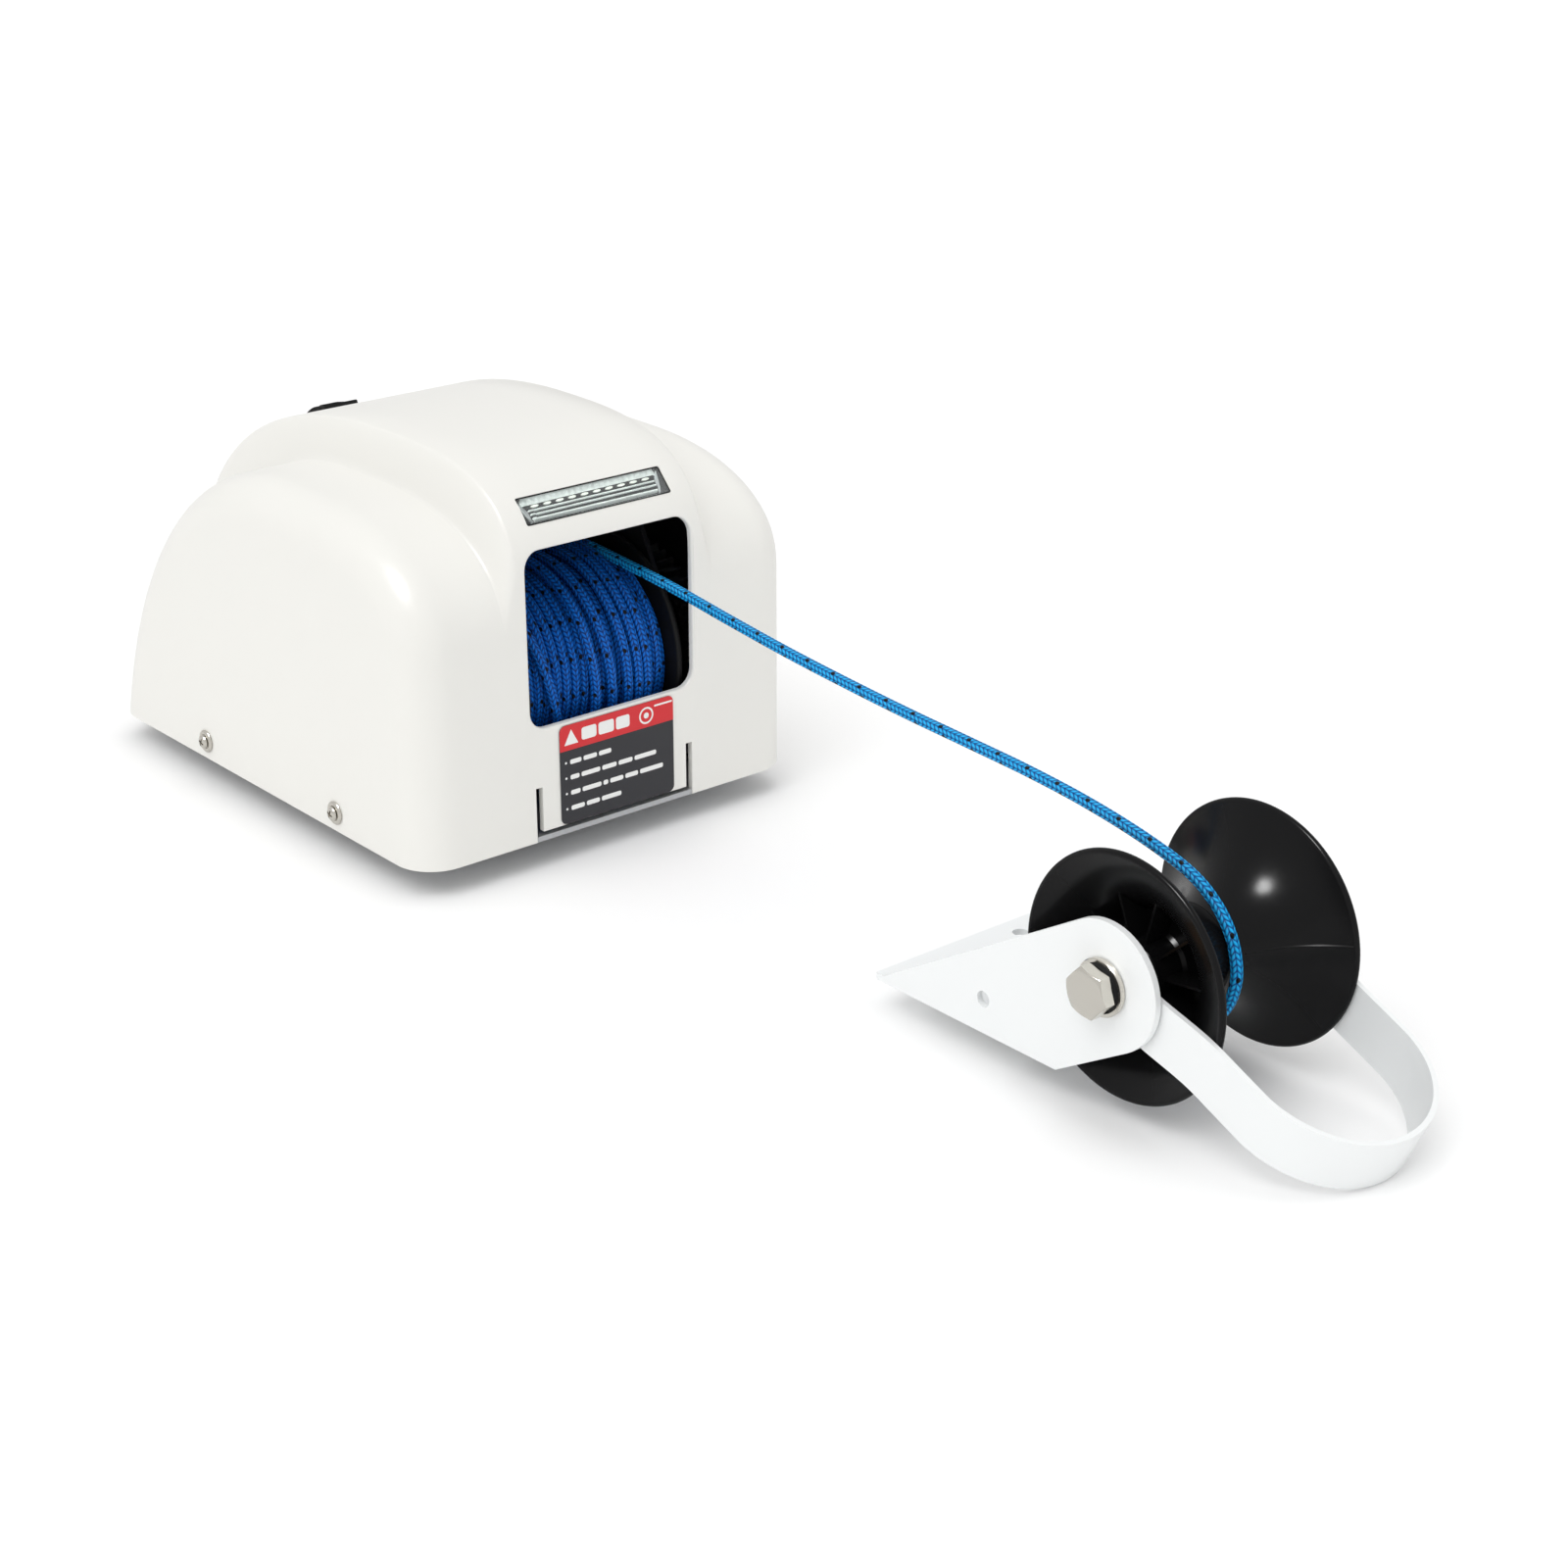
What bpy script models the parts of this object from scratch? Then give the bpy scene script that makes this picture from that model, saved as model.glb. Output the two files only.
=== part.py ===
"""Electric anchor windlass with its bow roller: a covered drum unit and a davit on one deck plane.

Metres, +Z up. The origin is the centre of the drum unit's base plate, on the deck plane.
-Y is the bow, where the rope leaves; +X is to the right when the unit is seen from the bow.
"""
import bmesh
import bpy
from math import acos, atan2, cos, hypot, pi, radians, sin, sqrt, tan
from mathutils import Vector
from mathutils.geometry import tessellate_polygon

MM = 0.001
GAP = 0.3                      # clearance between neighbouring pieces, mm

# ---- driving dimensions, in millimetres -------------------------------------------------
HALF_WIDTH = 110.0             # housing, across
HALF_DEPTH = 143.0             # housing, bow to stern
WALL = 3.0                     # cover wall
EDGE_RADIUS = 20.0             # rounding between the cover's sides and its arch
HUMP_IN, HUMP_OUT = 51.6, 61.2  # where the hump's side wall starts and ends, from the middle
# arch outlines: front spring height, front exponent, front and rear crown, height,
# height of the rear springing, rear exponent
SHOULDER_ARCH = (99.7, 2.39, -44.7, -17.8, 156.1, -89.7, 2.08)
HUMP_ARCH = (119.6, 2.76, -50.0, -45.0, 177.5, 51.8, 2.22)
FRONT_STEPS, REAR_STEPS, EDGE_STEPS, HUMP_STEPS = 6, 8, 4, 4

WINDOW_HALF, WINDOW_LOW, WINDOW_HIGH, WINDOW_RADIUS = 47.4, 55.5, 140.4, 9.0
SLOT_IN, SLOT_OUT, SLOT_TOP, TONGUE_LOW = 42.2, 46.0, 27.0, 4.7
LABEL_X, LABEL_Z = (-32.2, 34.4), (5.0, 54.2)
SIDE_SCREW_Y, SIDE_SCREW_Z = (-71.0, 48.0), 9.5

LIGHT_Y, LIGHT_Z, LIGHT_TILT = -131.3, 156.2, 45.0
LIGHT_HALF_X, LIGHT_HALF_Y = 40.5, 6.8
SWITCH_X, SWITCH_Y = -8.0, 84.0

TRAY_THICK = 2.5
DRUM_Y, DRUM_Z = -85.0, 66.0
DRUM_HALF, CORE_RADIUS, FLANGE_RADIUS, WINDING_RADIUS = 42.7, 27.0, 52.5, 46.6
SHAFT_RADIUS = 8.0
BRACKET_IN, BRACKET_OUT = 49.0, 51.5
GEAR_PLATE_X = (80.3, 82.3)

DRUM_TEETH, PINION_TEETH, IDLER_TEETH = 44, 12, 40
FINAL_MODULE, FIRST_MODULE = 2.0, 1.5
PRESSURE_ANGLE = radians(25.0)
ADDENDUM, DEDENDUM, BACKLASH = 0.8, 1.0, 0.2
MOTOR_Y, MOTOR_Z, MOTOR_RADIUS = 5.0, 50.0, 30.0

AXLE_X, AXLE_Y, AXLE_Z = 29.0, -480.0, 45.8
EAR_HALF, SHEET = 50.0, 3.0
EAR_RADIUS, EAR_SLOPE = 27.2, radians(30.8)
ROLLER_HALF, WAIST_RADIUS, RIM_RADIUS = 38.4, 20.0, 52.0
BAIL_TILT, BAIL_WIDTH, BAIL_THICK, BAIL_REACH = 24.0, 25.0, 2.2, 117.0
BOLT_RADIUS = 6.0

ROPE_DIAMETER = 5.1
ROPE_X = 29.0
# the free rope's route in the plane x = ROPE_X: off the drum, over the roller, round its waist
ROPE_ROUTE = [
    (-88.4, 115.4), (-120.0, 113.3), (-154.3, 110.5), (-197.2, 105.6), (-238.3, 101.4),
    (-277.8, 98.3), (-315.7, 95.9), (-352.0, 94.2), (-386.9, 92.4), (-420.6, 89.3),
    (-453.1, 84.1), (-477.2, 77.6), (-491.0, 69.2), (-499.4, 58.6), (-503.0, 47.5),
    (-503.0, 38.5), (-499.6, 28.6), (-491.8, 19.2), (-480.0, 14.6), (-470.0, 15.6),
]
ROPE_POINTS = 42

IVORY, GLOSS_WHITE = (0.83, 0.82, 0.78), (0.90, 0.91, 0.92)
BLACK, STEEL, ZINC = (0.012, 0.012, 0.013), (0.62, 0.62, 0.62), (0.55, 0.56, 0.58)
BLUE, BRASS, COPPER = (0.01, 0.15, 0.62), (0.75, 0.55, 0.22), (0.72, 0.33, 0.16)


# ---- small tools --------------------------------------------------------------------------
def clear_scene():
    for obj in list(bpy.data.objects):
        bpy.data.objects.remove(obj, do_unlink=True)


def material(name, colour, roughness=0.4, metallic=0.0, alpha=1.0):
    mat = bpy.data.materials.get(name) or bpy.data.materials.new(name)
    mat.use_nodes = True
    shader = mat.node_tree.nodes["Principled BSDF"]
    shader.inputs["Base Color"].default_value = (*colour, 1.0)
    shader.inputs["Roughness"].default_value = roughness
    shader.inputs["Metallic"].default_value = metallic
    shader.inputs["Alpha"].default_value = alpha
    return mat


def empty(name, x, y, z, tilt=0.0):
    """A joint axis or a local frame; tilt is about X, in degrees."""
    obj = bpy.data.objects.new(name, None)
    obj.location = (x * MM, y * MM, z * MM)
    obj.rotation_euler = (radians(tilt), 0.0, 0.0)
    bpy.context.collection.objects.link(obj)
    return obj


def place(mesh, name, mat=None, parent=None, at=(0, 0, 0), smooth=30):
    """Make an object of a mesh whose coordinates are millimetres about its own origin."""
    for vert in mesh.verts:
        vert.co *= MM
    bmesh.ops.recalc_face_normals(mesh, faces=mesh.faces)
    data = bpy.data.meshes.new(name)
    mesh.to_mesh(data)
    mesh.free()
    data.shade_smooth()
    data.set_sharp_from_angle(angle=radians(smooth))
    obj = bpy.data.objects.new(name, data)
    if mat:
        data.materials.append(mat)
    obj.parent = parent
    obj.location = (at[0] * MM, at[1] * MM, at[2] * MM)
    bpy.context.collection.objects.link(obj)
    return obj


def repeat(source, names, spots, turns):
    """Name the first piece and set copies of its mesh at the other places, turned about Z."""
    for name, spot, turn in zip(names, spots, turns):
        obj = source
        if name != source.name:
            obj = bpy.data.objects.new(name, source.data)
            bpy.context.collection.objects.link(obj)
        obj.location = Vector(spot) * MM
        obj.rotation_euler.z = turn


def to_axis(axis, along, first, second):
    """A point from its distance along an axis and its two coordinates across it."""
    if axis == "X":
        return (along, first, second)
    if axis == "Y":
        return (first, along, second)
    return (first, second, along)


def slab(outline, low, high, axis="Z", holes=(), mesh=None):
    """A flat plate: an outline with holes, from low to high along an axis."""
    mesh = mesh or bmesh.new()
    loops = [list(outline)] + [list(hole) for hole in holes]
    flat = [point for loop in loops for point in loop]
    bottom = [mesh.verts.new(to_axis(axis, low, *point)) for point in flat]
    top = [mesh.verts.new(to_axis(axis, high, *point)) for point in flat]
    caps = tessellate_polygon([[Vector((u, v, 0.0)) for u, v in loop] for loop in loops])
    for a, b, c in caps:
        mesh.faces.new((bottom[a], bottom[b], bottom[c]))
        mesh.faces.new((top[c], top[b], top[a]))
    start = 0
    for loop in loops:
        count = len(loop)
        for i in range(count):
            j = start + (i + 1) % count
            mesh.faces.new((bottom[start + i], bottom[j], top[j], top[start + i]))
        start += count
    return mesh


def turned(profile, segments=24, axis="X", closed=False, mesh=None, offset=(0.0, 0.0)):
    """A turned piece: (distance along the axis, radius) points; open profiles get flat ends."""
    mesh = mesh or bmesh.new()
    rings = []
    for along, radius in profile:
        ring = []
        for i in range(segments):
            angle = 2 * pi * i / segments
            across = (offset[0] + radius * cos(angle), offset[1] + radius * sin(angle))
            ring.append(mesh.verts.new(to_axis(axis, along, *across)))
        rings.append(ring)
    pairs = list(zip(rings, rings[1:])) + ([(rings[-1], rings[0])] if closed else [])
    for first, second in pairs:
        for i in range(segments):
            j = (i + 1) % segments
            mesh.faces.new((first[i], first[j], second[j], second[i]))
    if not closed:
        mesh.faces.new(rings[0])
        mesh.faces.new(rings[-1])
    return mesh


def tube(low, high, inner, outer, segments=24, **more):
    return turned([(low, inner), (low, outer), (high, outer), (high, inner)],
                  segments, closed=True, **more)


def rod(low, high, radius, segments=20, chamfer=0.5, **more):
    return turned([(low, radius - chamfer), (low + chamfer, radius),
                   (high - chamfer, radius), (high, radius - chamfer)], segments, **more)


def circle(u, v, radius, count=12, start=0.0):
    return [(u + radius * cos(start + 2 * pi * i / count), v + radius * sin(start + 2 * pi * i / count))
            for i in range(count)]


def rounded_rect(half_u, half_v, radius, steps=3, centre=(0.0, 0.0)):
    points = []
    for quarter, (su, sv) in enumerate(((1, 1), (-1, 1), (-1, -1), (1, -1))):
        for i in range(steps + 1):
            angle = pi / 2 * (quarter + i / steps)
            points.append((centre[0] + su * (half_u - radius) + radius * cos(angle),
                           centre[1] + sv * (half_v - radius) + radius * sin(angle)))
    return points


def rect(u0, u1, v0, v1):
    return [(u0, v0), (u1, v0), (u1, v1), (u0, v1)]


def apply_boolean(obj, tool, operation):
    """Cut with, or join, a hidden tool object."""
    tool.hide_render = True
    tool.display_type = "WIRE"
    step = obj.modifiers.new(operation.lower(), "BOOLEAN")
    step.operation = operation
    step.solver = "EXACT"
    step.object = tool


# ---- the cover's arched shape ----------------------------------------------------------------
def arch_outline(shape):
    """One bow-to-stern outline of the cover, as (y, z) points from foot to foot."""
    spring, front_power, front_crown, rear_crown, height, rear_spring, rear_power = shape
    foot = -2.0 * WALL
    points = [(-HALF_DEPTH, foot), (-HALF_DEPTH, spring)]
    for i in range(1, FRONT_STEPS + 1):
        angle = pi / 2 * i / FRONT_STEPS
        y = front_crown - (front_crown + HALF_DEPTH) * cos(angle) ** (2 / front_power)
        points.append((y, spring + (height - spring) * sin(angle) ** (2 / front_power)))
    rise = height - rear_spring
    upright = rear_spring > 0.0
    end = pi / 2 if upright else acos(((foot - rear_spring) / rise) ** (rear_power / 2))
    base = pi / 2 if upright else acos((-rear_spring / rise) ** (rear_power / 2))
    reach = (HALF_DEPTH - rear_crown) / sin(base) ** (2 / rear_power)
    steps = REAR_STEPS if upright else REAR_STEPS + 1
    for i in range(steps + 1):
        angle = end * i / steps
        y = rear_crown + reach * sin(angle) ** (2 / rear_power)
        points.append((y, rear_spring + rise * max(cos(angle), 0.0) ** (2 / rear_power)))
    if upright:
        points.append((HALF_DEPTH, foot))
    return points


def outward(points):
    """Unit normals of an outline that runs foot to foot over the top."""
    result = []
    for i in range(len(points)):
        before, after = points[max(i - 1, 0)], points[min(i + 1, len(points) - 1)]
        dy, dz = after[0] - before[0], after[1] - before[1]
        length = hypot(dy, dz)
        result.append((-dz / length, dy / length))
    return result


def smooth_step(low, high, value):
    t = min(1.0, max(0.0, (value - low) / (high - low)))
    return t * t * (3.0 - 2.0 * t)


def cover_section(x, shoulder, hump, normals):
    """The cover's outline at a distance from the middle."""
    share = 1.0 - smooth_step(HUMP_IN, HUMP_OUT, abs(x))
    over = max(0.0, abs(x) - (HALF_WIDTH - EDGE_RADIUS))
    inset = EDGE_RADIUS - sqrt(max(0.0, EDGE_RADIUS ** 2 - over ** 2))
    section = []
    for low, high, normal in zip(shoulder, hump, normals):
        y = low[0] + share * (high[0] - low[0]) - inset * normal[0]
        z = low[1] + share * (high[1] - low[1]) - inset * normal[1]
        section.append((x, y, z))
    return section


def cover_shell():
    shoulder, hump = arch_outline(SHOULDER_ARCH), arch_outline(HUMP_ARCH)
    normals = outward(shoulder)
    stations = [HUMP_IN + (HUMP_OUT - HUMP_IN) * i / HUMP_STEPS for i in range(HUMP_STEPS + 1)]
    stations += [HALF_WIDTH - EDGE_RADIUS * (1.0 - sin(pi / 2 * i / EDGE_STEPS))
                 for i in range(EDGE_STEPS + 1)]
    stations = [-x for x in reversed(stations)] + stations
    mesh = bmesh.new()
    rows = [[mesh.verts.new(point) for point in cover_section(x, shoulder, hump, normals)]
            for x in stations]
    for row, after in zip(rows, rows[1:]):
        for i in range(len(row) - 1):
            mesh.faces.new((row[i], row[i + 1], after[i + 1], after[i]))
    mesh.faces.new(rows[0])
    mesh.faces.new(rows[-1])
    return mesh


def hump_height(y):
    """Height and backward slope of the hump behind its crown."""
    _, _, _, crown, height, spring, power = HUMP_ARCH
    reach, rise = HALF_DEPTH - crown, height - spring
    t = (y - crown) / reach
    z = spring + rise * (1.0 - t ** power) ** (1.0 / power)
    slope = rise / reach * t ** (power - 1.0) * (1.0 - t ** power) ** (1.0 / power - 1.0)
    return z, atan2(slope, 1.0)


def make_cover(light, switch, gland):
    cover = place(cover_shell(), "cover", material("ivory_abs", IVORY, 0.28))
    shell = cover.modifiers.new("wall", "SOLIDIFY")
    shell.thickness = WALL * MM
    shell.offset = -1.0
    shell.use_even_offset = True
    window = rounded_rect(WINDOW_HALF, (WINDOW_HIGH - WINDOW_LOW) / 2, WINDOW_RADIUS, 4,
                          (0.0, (WINDOW_HIGH + WINDOW_LOW) / 2))
    front = (-HALF_DEPTH - 5.0, -HALF_DEPTH + 12.0)
    cuts = slab(window, *front, axis="Y")
    notch = [(-SLOT_OUT, -1.0), (SLOT_OUT, -1.0), (SLOT_OUT, SLOT_TOP), (SLOT_IN, SLOT_TOP),
             (SLOT_IN, TONGUE_LOW), (-SLOT_IN, TONGUE_LOW), (-SLOT_IN, SLOT_TOP), (-SLOT_OUT, SLOT_TOP)]
    slab(notch, *front, axis="Y", mesh=cuts)
    for side in (-1, 1):
        for y in SIDE_SCREW_Y:
            turned([(side * 100.0, 2.6), (side * 120.0, 2.6)], 12, mesh=cuts, offset=(y, SIDE_SCREW_Z))
    apply_boolean(cover, place(cuts, "cover_openings"), "DIFFERENCE")
    seat = slab(rounded_rect(LIGHT_HALF_X + 0.4, LIGHT_HALF_Y + 0.4, 1.0, 1), -12.0, 8.0)
    apply_boolean(cover, place(seat, "light_opening", parent=light), "DIFFERENCE")
    seat = slab(rounded_rect(10.0, 15.5, 1.5, 1), -12.0, 8.0)
    apply_boolean(cover, place(seat, "switch_opening", parent=switch), "DIFFERENCE")
    seat = turned([(-12.0, 8.3), (12.0, 8.3)], 20, axis="Z")
    apply_boolean(cover, place(seat, "gland_opening", parent=gland), "DIFFERENCE")
    below = slab(rect(-150.0, 150.0, -180.0, 180.0), -30.0, 0.0)
    apply_boolean(cover, place(below, "below_deck"), "DIFFERENCE")


def make_cover_trim():
    steel = material("stainless", STEEL, 0.25, 1.0)
    spots = [(side * HALF_WIDTH, y, SIDE_SCREW_Z) for side in (-1, 1) for y in SIDE_SCREW_Y]
    turns = [pi, pi, 0.0, 0.0]
    washer = turned([(0.3, 2.6), (0.3, 5.6), (1.5, 4.4), (1.5, 2.6)], 16, closed=True)
    names = [f"screw_washer_{i}" for i in range(1, 5)]
    repeat(place(washer, names[0], steel), names, spots, turns)
    screw = turned([(-9.0, 2.1), (1.8, 2.1), (1.8, 3.5), (3.0, 3.1), (3.6, 1.6)], 12)
    names = [f"cover_screw_{i}" for i in range(1, 5)]
    repeat(place(screw, names[0], steel), names, spots, turns)
    label = slab(rounded_rect((LABEL_X[1] - LABEL_X[0]) / 2, (LABEL_Z[1] - LABEL_Z[0]) / 2, 4.0, 3),
                 -0.15, 0.15, axis="Y")
    centre = ((LABEL_X[0] + LABEL_X[1]) / 2, -HALF_DEPTH - GAP - 0.15, (LABEL_Z[0] + LABEL_Z[1]) / 2)
    place(label, "front_label", material("label_film", (0.02, 0.02, 0.025), 0.35), at=centre)


# ---- tray, brackets and electrics ----------------------------------------------------------
MOUNT_HOLES = [(x, y) for x in (-78.0, 78.0) for y in (-112.0, 112.0)]


def make_tray():
    front, back, side, corner = -139.3, 136.5, 106.6, 17.0
    outline = [(-45.6, front - 0.3), (-45.6, 0.2 - HALF_DEPTH), (45.6, 0.2 - HALF_DEPTH),
               (45.6, front - 0.3), (side - corner, front), (side, front + corner), (side, back - corner),
               (side - corner, back), (corner - side, back), (-side, back - corner),
               (-side, front + corner), (corner - side, front)]
    holes = [circle(x, y, 3.5, 12) for x, y in MOUNT_HOLES]
    zinc = material("zinc_plate", ZINC, 0.35, 1.0)
    tray = place(slab(outline, 0.0, TRAY_THICK, holes=holes), "base_tray", zinc)
    flanges = bmesh.new()
    for s in (-1, 1):
        low, high = sorted((s * (side - 2.2), s * (side - 0.2)))
        pilots = [circle(y, SIDE_SCREW_Z, 2.4, 8) for y in SIDE_SCREW_Y]
        slab(rect(-110.0, 100.0, 1.0, 20.0), low, high, axis="X", holes=pilots, mesh=flanges)
    apply_boolean(tray, place(flanges, "tray_flanges"), "UNION")


def gear_centres():
    """The idler's place, from the two centre distances, below the drum-to-motor line's top side."""
    first = FIRST_MODULE * (IDLER_TEETH + PINION_TEETH) / 2
    final = FINAL_MODULE * (DRUM_TEETH + PINION_TEETH) / 2
    dy, dz = MOTOR_Y - DRUM_Y, MOTOR_Z - DRUM_Z
    span = hypot(dy, dz)
    along = (final ** 2 - first ** 2 + span ** 2) / (2 * span)
    off = sqrt(final ** 2 - along ** 2)
    return DRUM_Y + (along * dy - off * dz) / span, DRUM_Z + (along * dz + off * dy) / span


STANDOFFS = [(-85.0, 123.0), (-38.0, 20.0), (31.0, 80.0)]


def make_brackets(idler_y, idler_z):
    steel = material("zinc_plate", ZINC, 0.35, 1.0)
    low = TRAY_THICK + GAP
    outline = [(-116.0, low), (44.0, low), (44.0, 84.0), (36.0, 92.0), (-60.0, 130.0),
               (-98.0, 130.0), (-116.0, 96.0)]
    for side, name in ((-1, "side_bracket_left"), (1, "side_bracket_right")):
        holes = [circle(DRUM_Y, DRUM_Z, 11.3, 24)]
        if side > 0:
            holes += [circle(idler_y, idler_z, 5.3, 16), circle(MOTOR_Y, MOTOR_Z, 8.0, 16)]
            holes += [circle(MOTOR_Y, MOTOR_Z + s * 20.0, 2.8, 8) for s in (-1, 1)]
        x0, x1 = sorted((side * BRACKET_IN, side * BRACKET_OUT))
        plate = place(slab(outline, x0, x1, axis="X", holes=holes), name, steel)
        x0, x1 = sorted((side * (BRACKET_IN + 0.5), side * 68.0))
        foot = slab(rect(x0, x1, -112.0, 40.0), low + 0.2, low + 2.5)
        apply_boolean(plate, place(foot, name + "_foot"), "UNION")
    plate = [(-98.0, 55.0), (-44.0, 10.0), (-28.0, 12.0), (18.0, 40.0), (40.0, 72.0), (38.0, 88.0),
             (-78.0, 131.0), (-94.0, 131.0), (-102.0, 75.0)]
    holes = [circle(DRUM_Y, DRUM_Z, SHAFT_RADIUS + 0.15, 24), circle(idler_y, idler_z, 5.3, 16),
             circle(MOTOR_Y, MOTOR_Z, 4.2, 16)]
    place(slab(plate, *GEAR_PLATE_X, axis="X", holes=holes), "gear_plate", steel)
    pillar = rod(BRACKET_OUT + GAP, GEAR_PLATE_X[0] - GAP, 4.5, 12)
    names = [f"gear_standoff_{i}" for i in range(1, 4)]
    repeat(place(pillar, names[0], steel), names, [(0.0, y, z) for y, z in STANDOFFS], [0.0] * 3)


def make_electrics():
    case = material("black_nylon", BLACK, 0.5)
    floor = TRAY_THICK + GAP
    for name, y in (("relay_up", -34.0), ("relay_down", 8.0)):
        body = slab(rounded_rect(14.0, 15.0, 3.0, 2), floor, floor + 34.0)
        place(body, name, case, at=(-86.0, y, 0.0))
    box = slab(rounded_rect(22.0, 26.0, 4.0, 2), floor, floor + 24.0)
    place(box, "control_box", case, at=(-76.0, 66.0, 0.0))
    breaker = slab(rounded_rect(17.0, 22.0, 3.0, 2), floor, floor + 30.0)
    place(breaker, "circuit_breaker", case, at=(80.0, 66.0, 0.0))


def make_light(mount):
    chrome = material("chrome_plate", (0.8, 0.8, 0.8), 0.08, 1.0)
    lens = slab(rounded_rect(LIGHT_HALF_X, LIGHT_HALF_Y, 1.0, 1), -4.0, 1.6)
    place(lens, "light_lens", material("clear_lens", (0.85, 0.9, 0.9), 0.05, 0.0, 0.35), mount)
    outer, inner = rounded_rect(44.0, 9.0, 1.5, 1), rounded_rect(LIGHT_HALF_X, LIGHT_HALF_Y, 1.0, 1)
    place(slab(outer, -13.0, -5.0, holes=[inner]), "light_housing", chrome, mount)
    board = slab(rounded_rect(44.0, 9.0, 1.0, 1), -15.0, -13.4)
    place(board, "light_board", material("green_board", (0.02, 0.2, 0.08)), mount)


ROCKER_DROP = 4.0


def make_switch(mount):
    black = material("black_nylon", BLACK, 0.5)
    hole = rounded_rect(7.8, 13.8, 0.8, 1)
    place(slab(rounded_rect(12.0, 18.0, 2.5, 3), 0.4, 2.6, holes=[hole]), "switch_bezel", black, mount)
    place(slab(rounded_rect(9.6, 15.1, 1.2, 1), -15.0, 0.1, holes=[hole]), "switch_body", black, mount)
    pivot = empty("rocker_axis", 0, 0, -ROCKER_DROP)
    pivot.parent = mount
    reach = 13.2
    side = [(reach * cos(radians(a)), reach * sin(radians(a))) for a in (5.0, 18.0, 30.0)]
    crown = [(8.0, 8.9), (4.0, 10.1)]
    half = [(6.0, -2.0)] + side + crown
    outline = half + [(0.0, 10.5)] + [(-y, z) for y, z in reversed(half)]
    place(slab(outline, -7.5, 7.5, axis="X"), "switch_rocker", material("black_rubber", BLACK, 0.45), pivot)


def make_gland(mount):
    nylon = material("black_nylon", BLACK, 0.5)
    body = turned([(-10.0, 3.6), (-10.0, 8.0), (0.5, 8.0), (0.5, 11.0), (4.0, 11.0), (4.0, 3.6)],
                  16, axis="Z", closed=True)
    place(body, "cable_gland", nylon, mount)


# ---- drum and gear train --------------------------------------------------------------------
def involute(angle):
    return tan(angle) - angle


def gear_outline(teeth, module, toward):
    """Stub involute teeth, each flank a chord of its curve; a tooth's middle points toward."""
    pitch = module * teeth / 2
    base = pitch * cos(PRESSURE_ANGLE)
    tip, root = pitch + ADDENDUM * module, pitch - DEDENDUM * module
    half = pi / (2 * teeth) - BACKLASH / (2 * pitch) + involute(PRESSURE_ANGLE)
    at_tip = half - involute(acos(base / tip))
    at_root = half - (involute(acos(base / root)) if root > base else 0.0)
    points = []
    for i in range(teeth):
        middle = toward + 2 * pi * i / teeth
        for radius, angle in ((root, -at_root), (tip, -at_tip), (tip, at_tip), (root, at_root)):
            points.append((radius * cos(middle + angle), radius * sin(middle + angle)))
    return points


def gear(name, mat, parent, teeth, module, toward, low, high, bore):
    outline, hole = gear_outline(teeth, module, toward), circle(0.0, 0.0, bore, 20)
    place(slab(outline, low, high, axis="X", holes=[hole]), name, mat, parent)


def make_drum(idler_y, idler_z):
    axis = empty("drum_axis", 0, DRUM_Y, DRUM_Z)
    steel = material("stainless", STEEL, 0.25, 1.0)
    spool = [(-46.0, 8.3), (-46.0, 50.5), (-45.0, FLANGE_RADIUS), (-43.6, FLANGE_RADIUS), (-DRUM_HALF, 51.0),
             (-DRUM_HALF, CORE_RADIUS)]
    spool += [(-x, r) for x, r in reversed(spool)]
    place(turned(spool, 28, closed=True), "drum_spool", material("black_nylon", BLACK, 0.5), axis)
    place(tube(-DRUM_HALF + GAP, DRUM_HALF - GAP, CORE_RADIUS + GAP, WINDING_RADIUS, 28),
          "rope_winding", material("blue_rope", BLUE, 0.8), axis)
    place(rod(-62.0, 84.0, SHAFT_RADIUS, 24), "drum_shaft", steel, axis)
    toward = atan2(idler_z - DRUM_Z, idler_y - DRUM_Y)
    gear("drum_gear", material("gear_steel", (0.42, 0.42, 0.44), 0.35, 1.0), axis, DRUM_TEETH, FINAL_MODULE,
         toward, 55.0, 65.0, SHAFT_RADIUS + GAP)
    for side, name in ((-1, "drum_bush_left"), (1, "drum_bush_right")):
        profile = [(side * x, r) for x, r in ((46.8, 8.1), (46.8, 14.0), (48.7, 14.0), (48.7, 11.0),
                                              (54.4, 11.0), (54.4, 8.1))]
        place(turned(profile, 20, closed=True), name, material("bronze", (0.6, 0.42, 0.2), 0.35, 1.0),
              at=(0.0, DRUM_Y, DRUM_Z))


def make_idler(idler_y, idler_z):
    axis = empty("idler_axis", 0, idler_y, idler_z)
    steel = material("gear_steel", (0.42, 0.42, 0.44), 0.35, 1.0)
    toward_drum = atan2(DRUM_Z - idler_z, DRUM_Y - idler_y) + pi / PINION_TEETH
    toward_motor = atan2(MOTOR_Z - idler_z, MOTOR_Y - idler_y)
    gear("idler_pinion", steel, axis, PINION_TEETH, FINAL_MODULE, toward_drum, 54.4, 67.2, 5.2)
    gear("idler_gear", steel, axis, IDLER_TEETH, FIRST_MODULE, toward_motor, 67.5, 75.5, 5.2)
    place(rod(48.6, 84.0, 5.0, 20), "idler_shaft", material("stainless", STEEL, 0.25, 1.0),
          at=(0.0, idler_y, idler_z))


def arc_block(inner, outer, middle, spread, steps=6):
    """The outline of a curved block round an axis."""
    angles = [middle - spread + 2 * spread * i / steps for i in range(steps + 1)]
    return ([(outer * cos(a), outer * sin(a)) for a in angles]
            + [(inner * cos(a), inner * sin(a)) for a in reversed(angles)])


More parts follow.
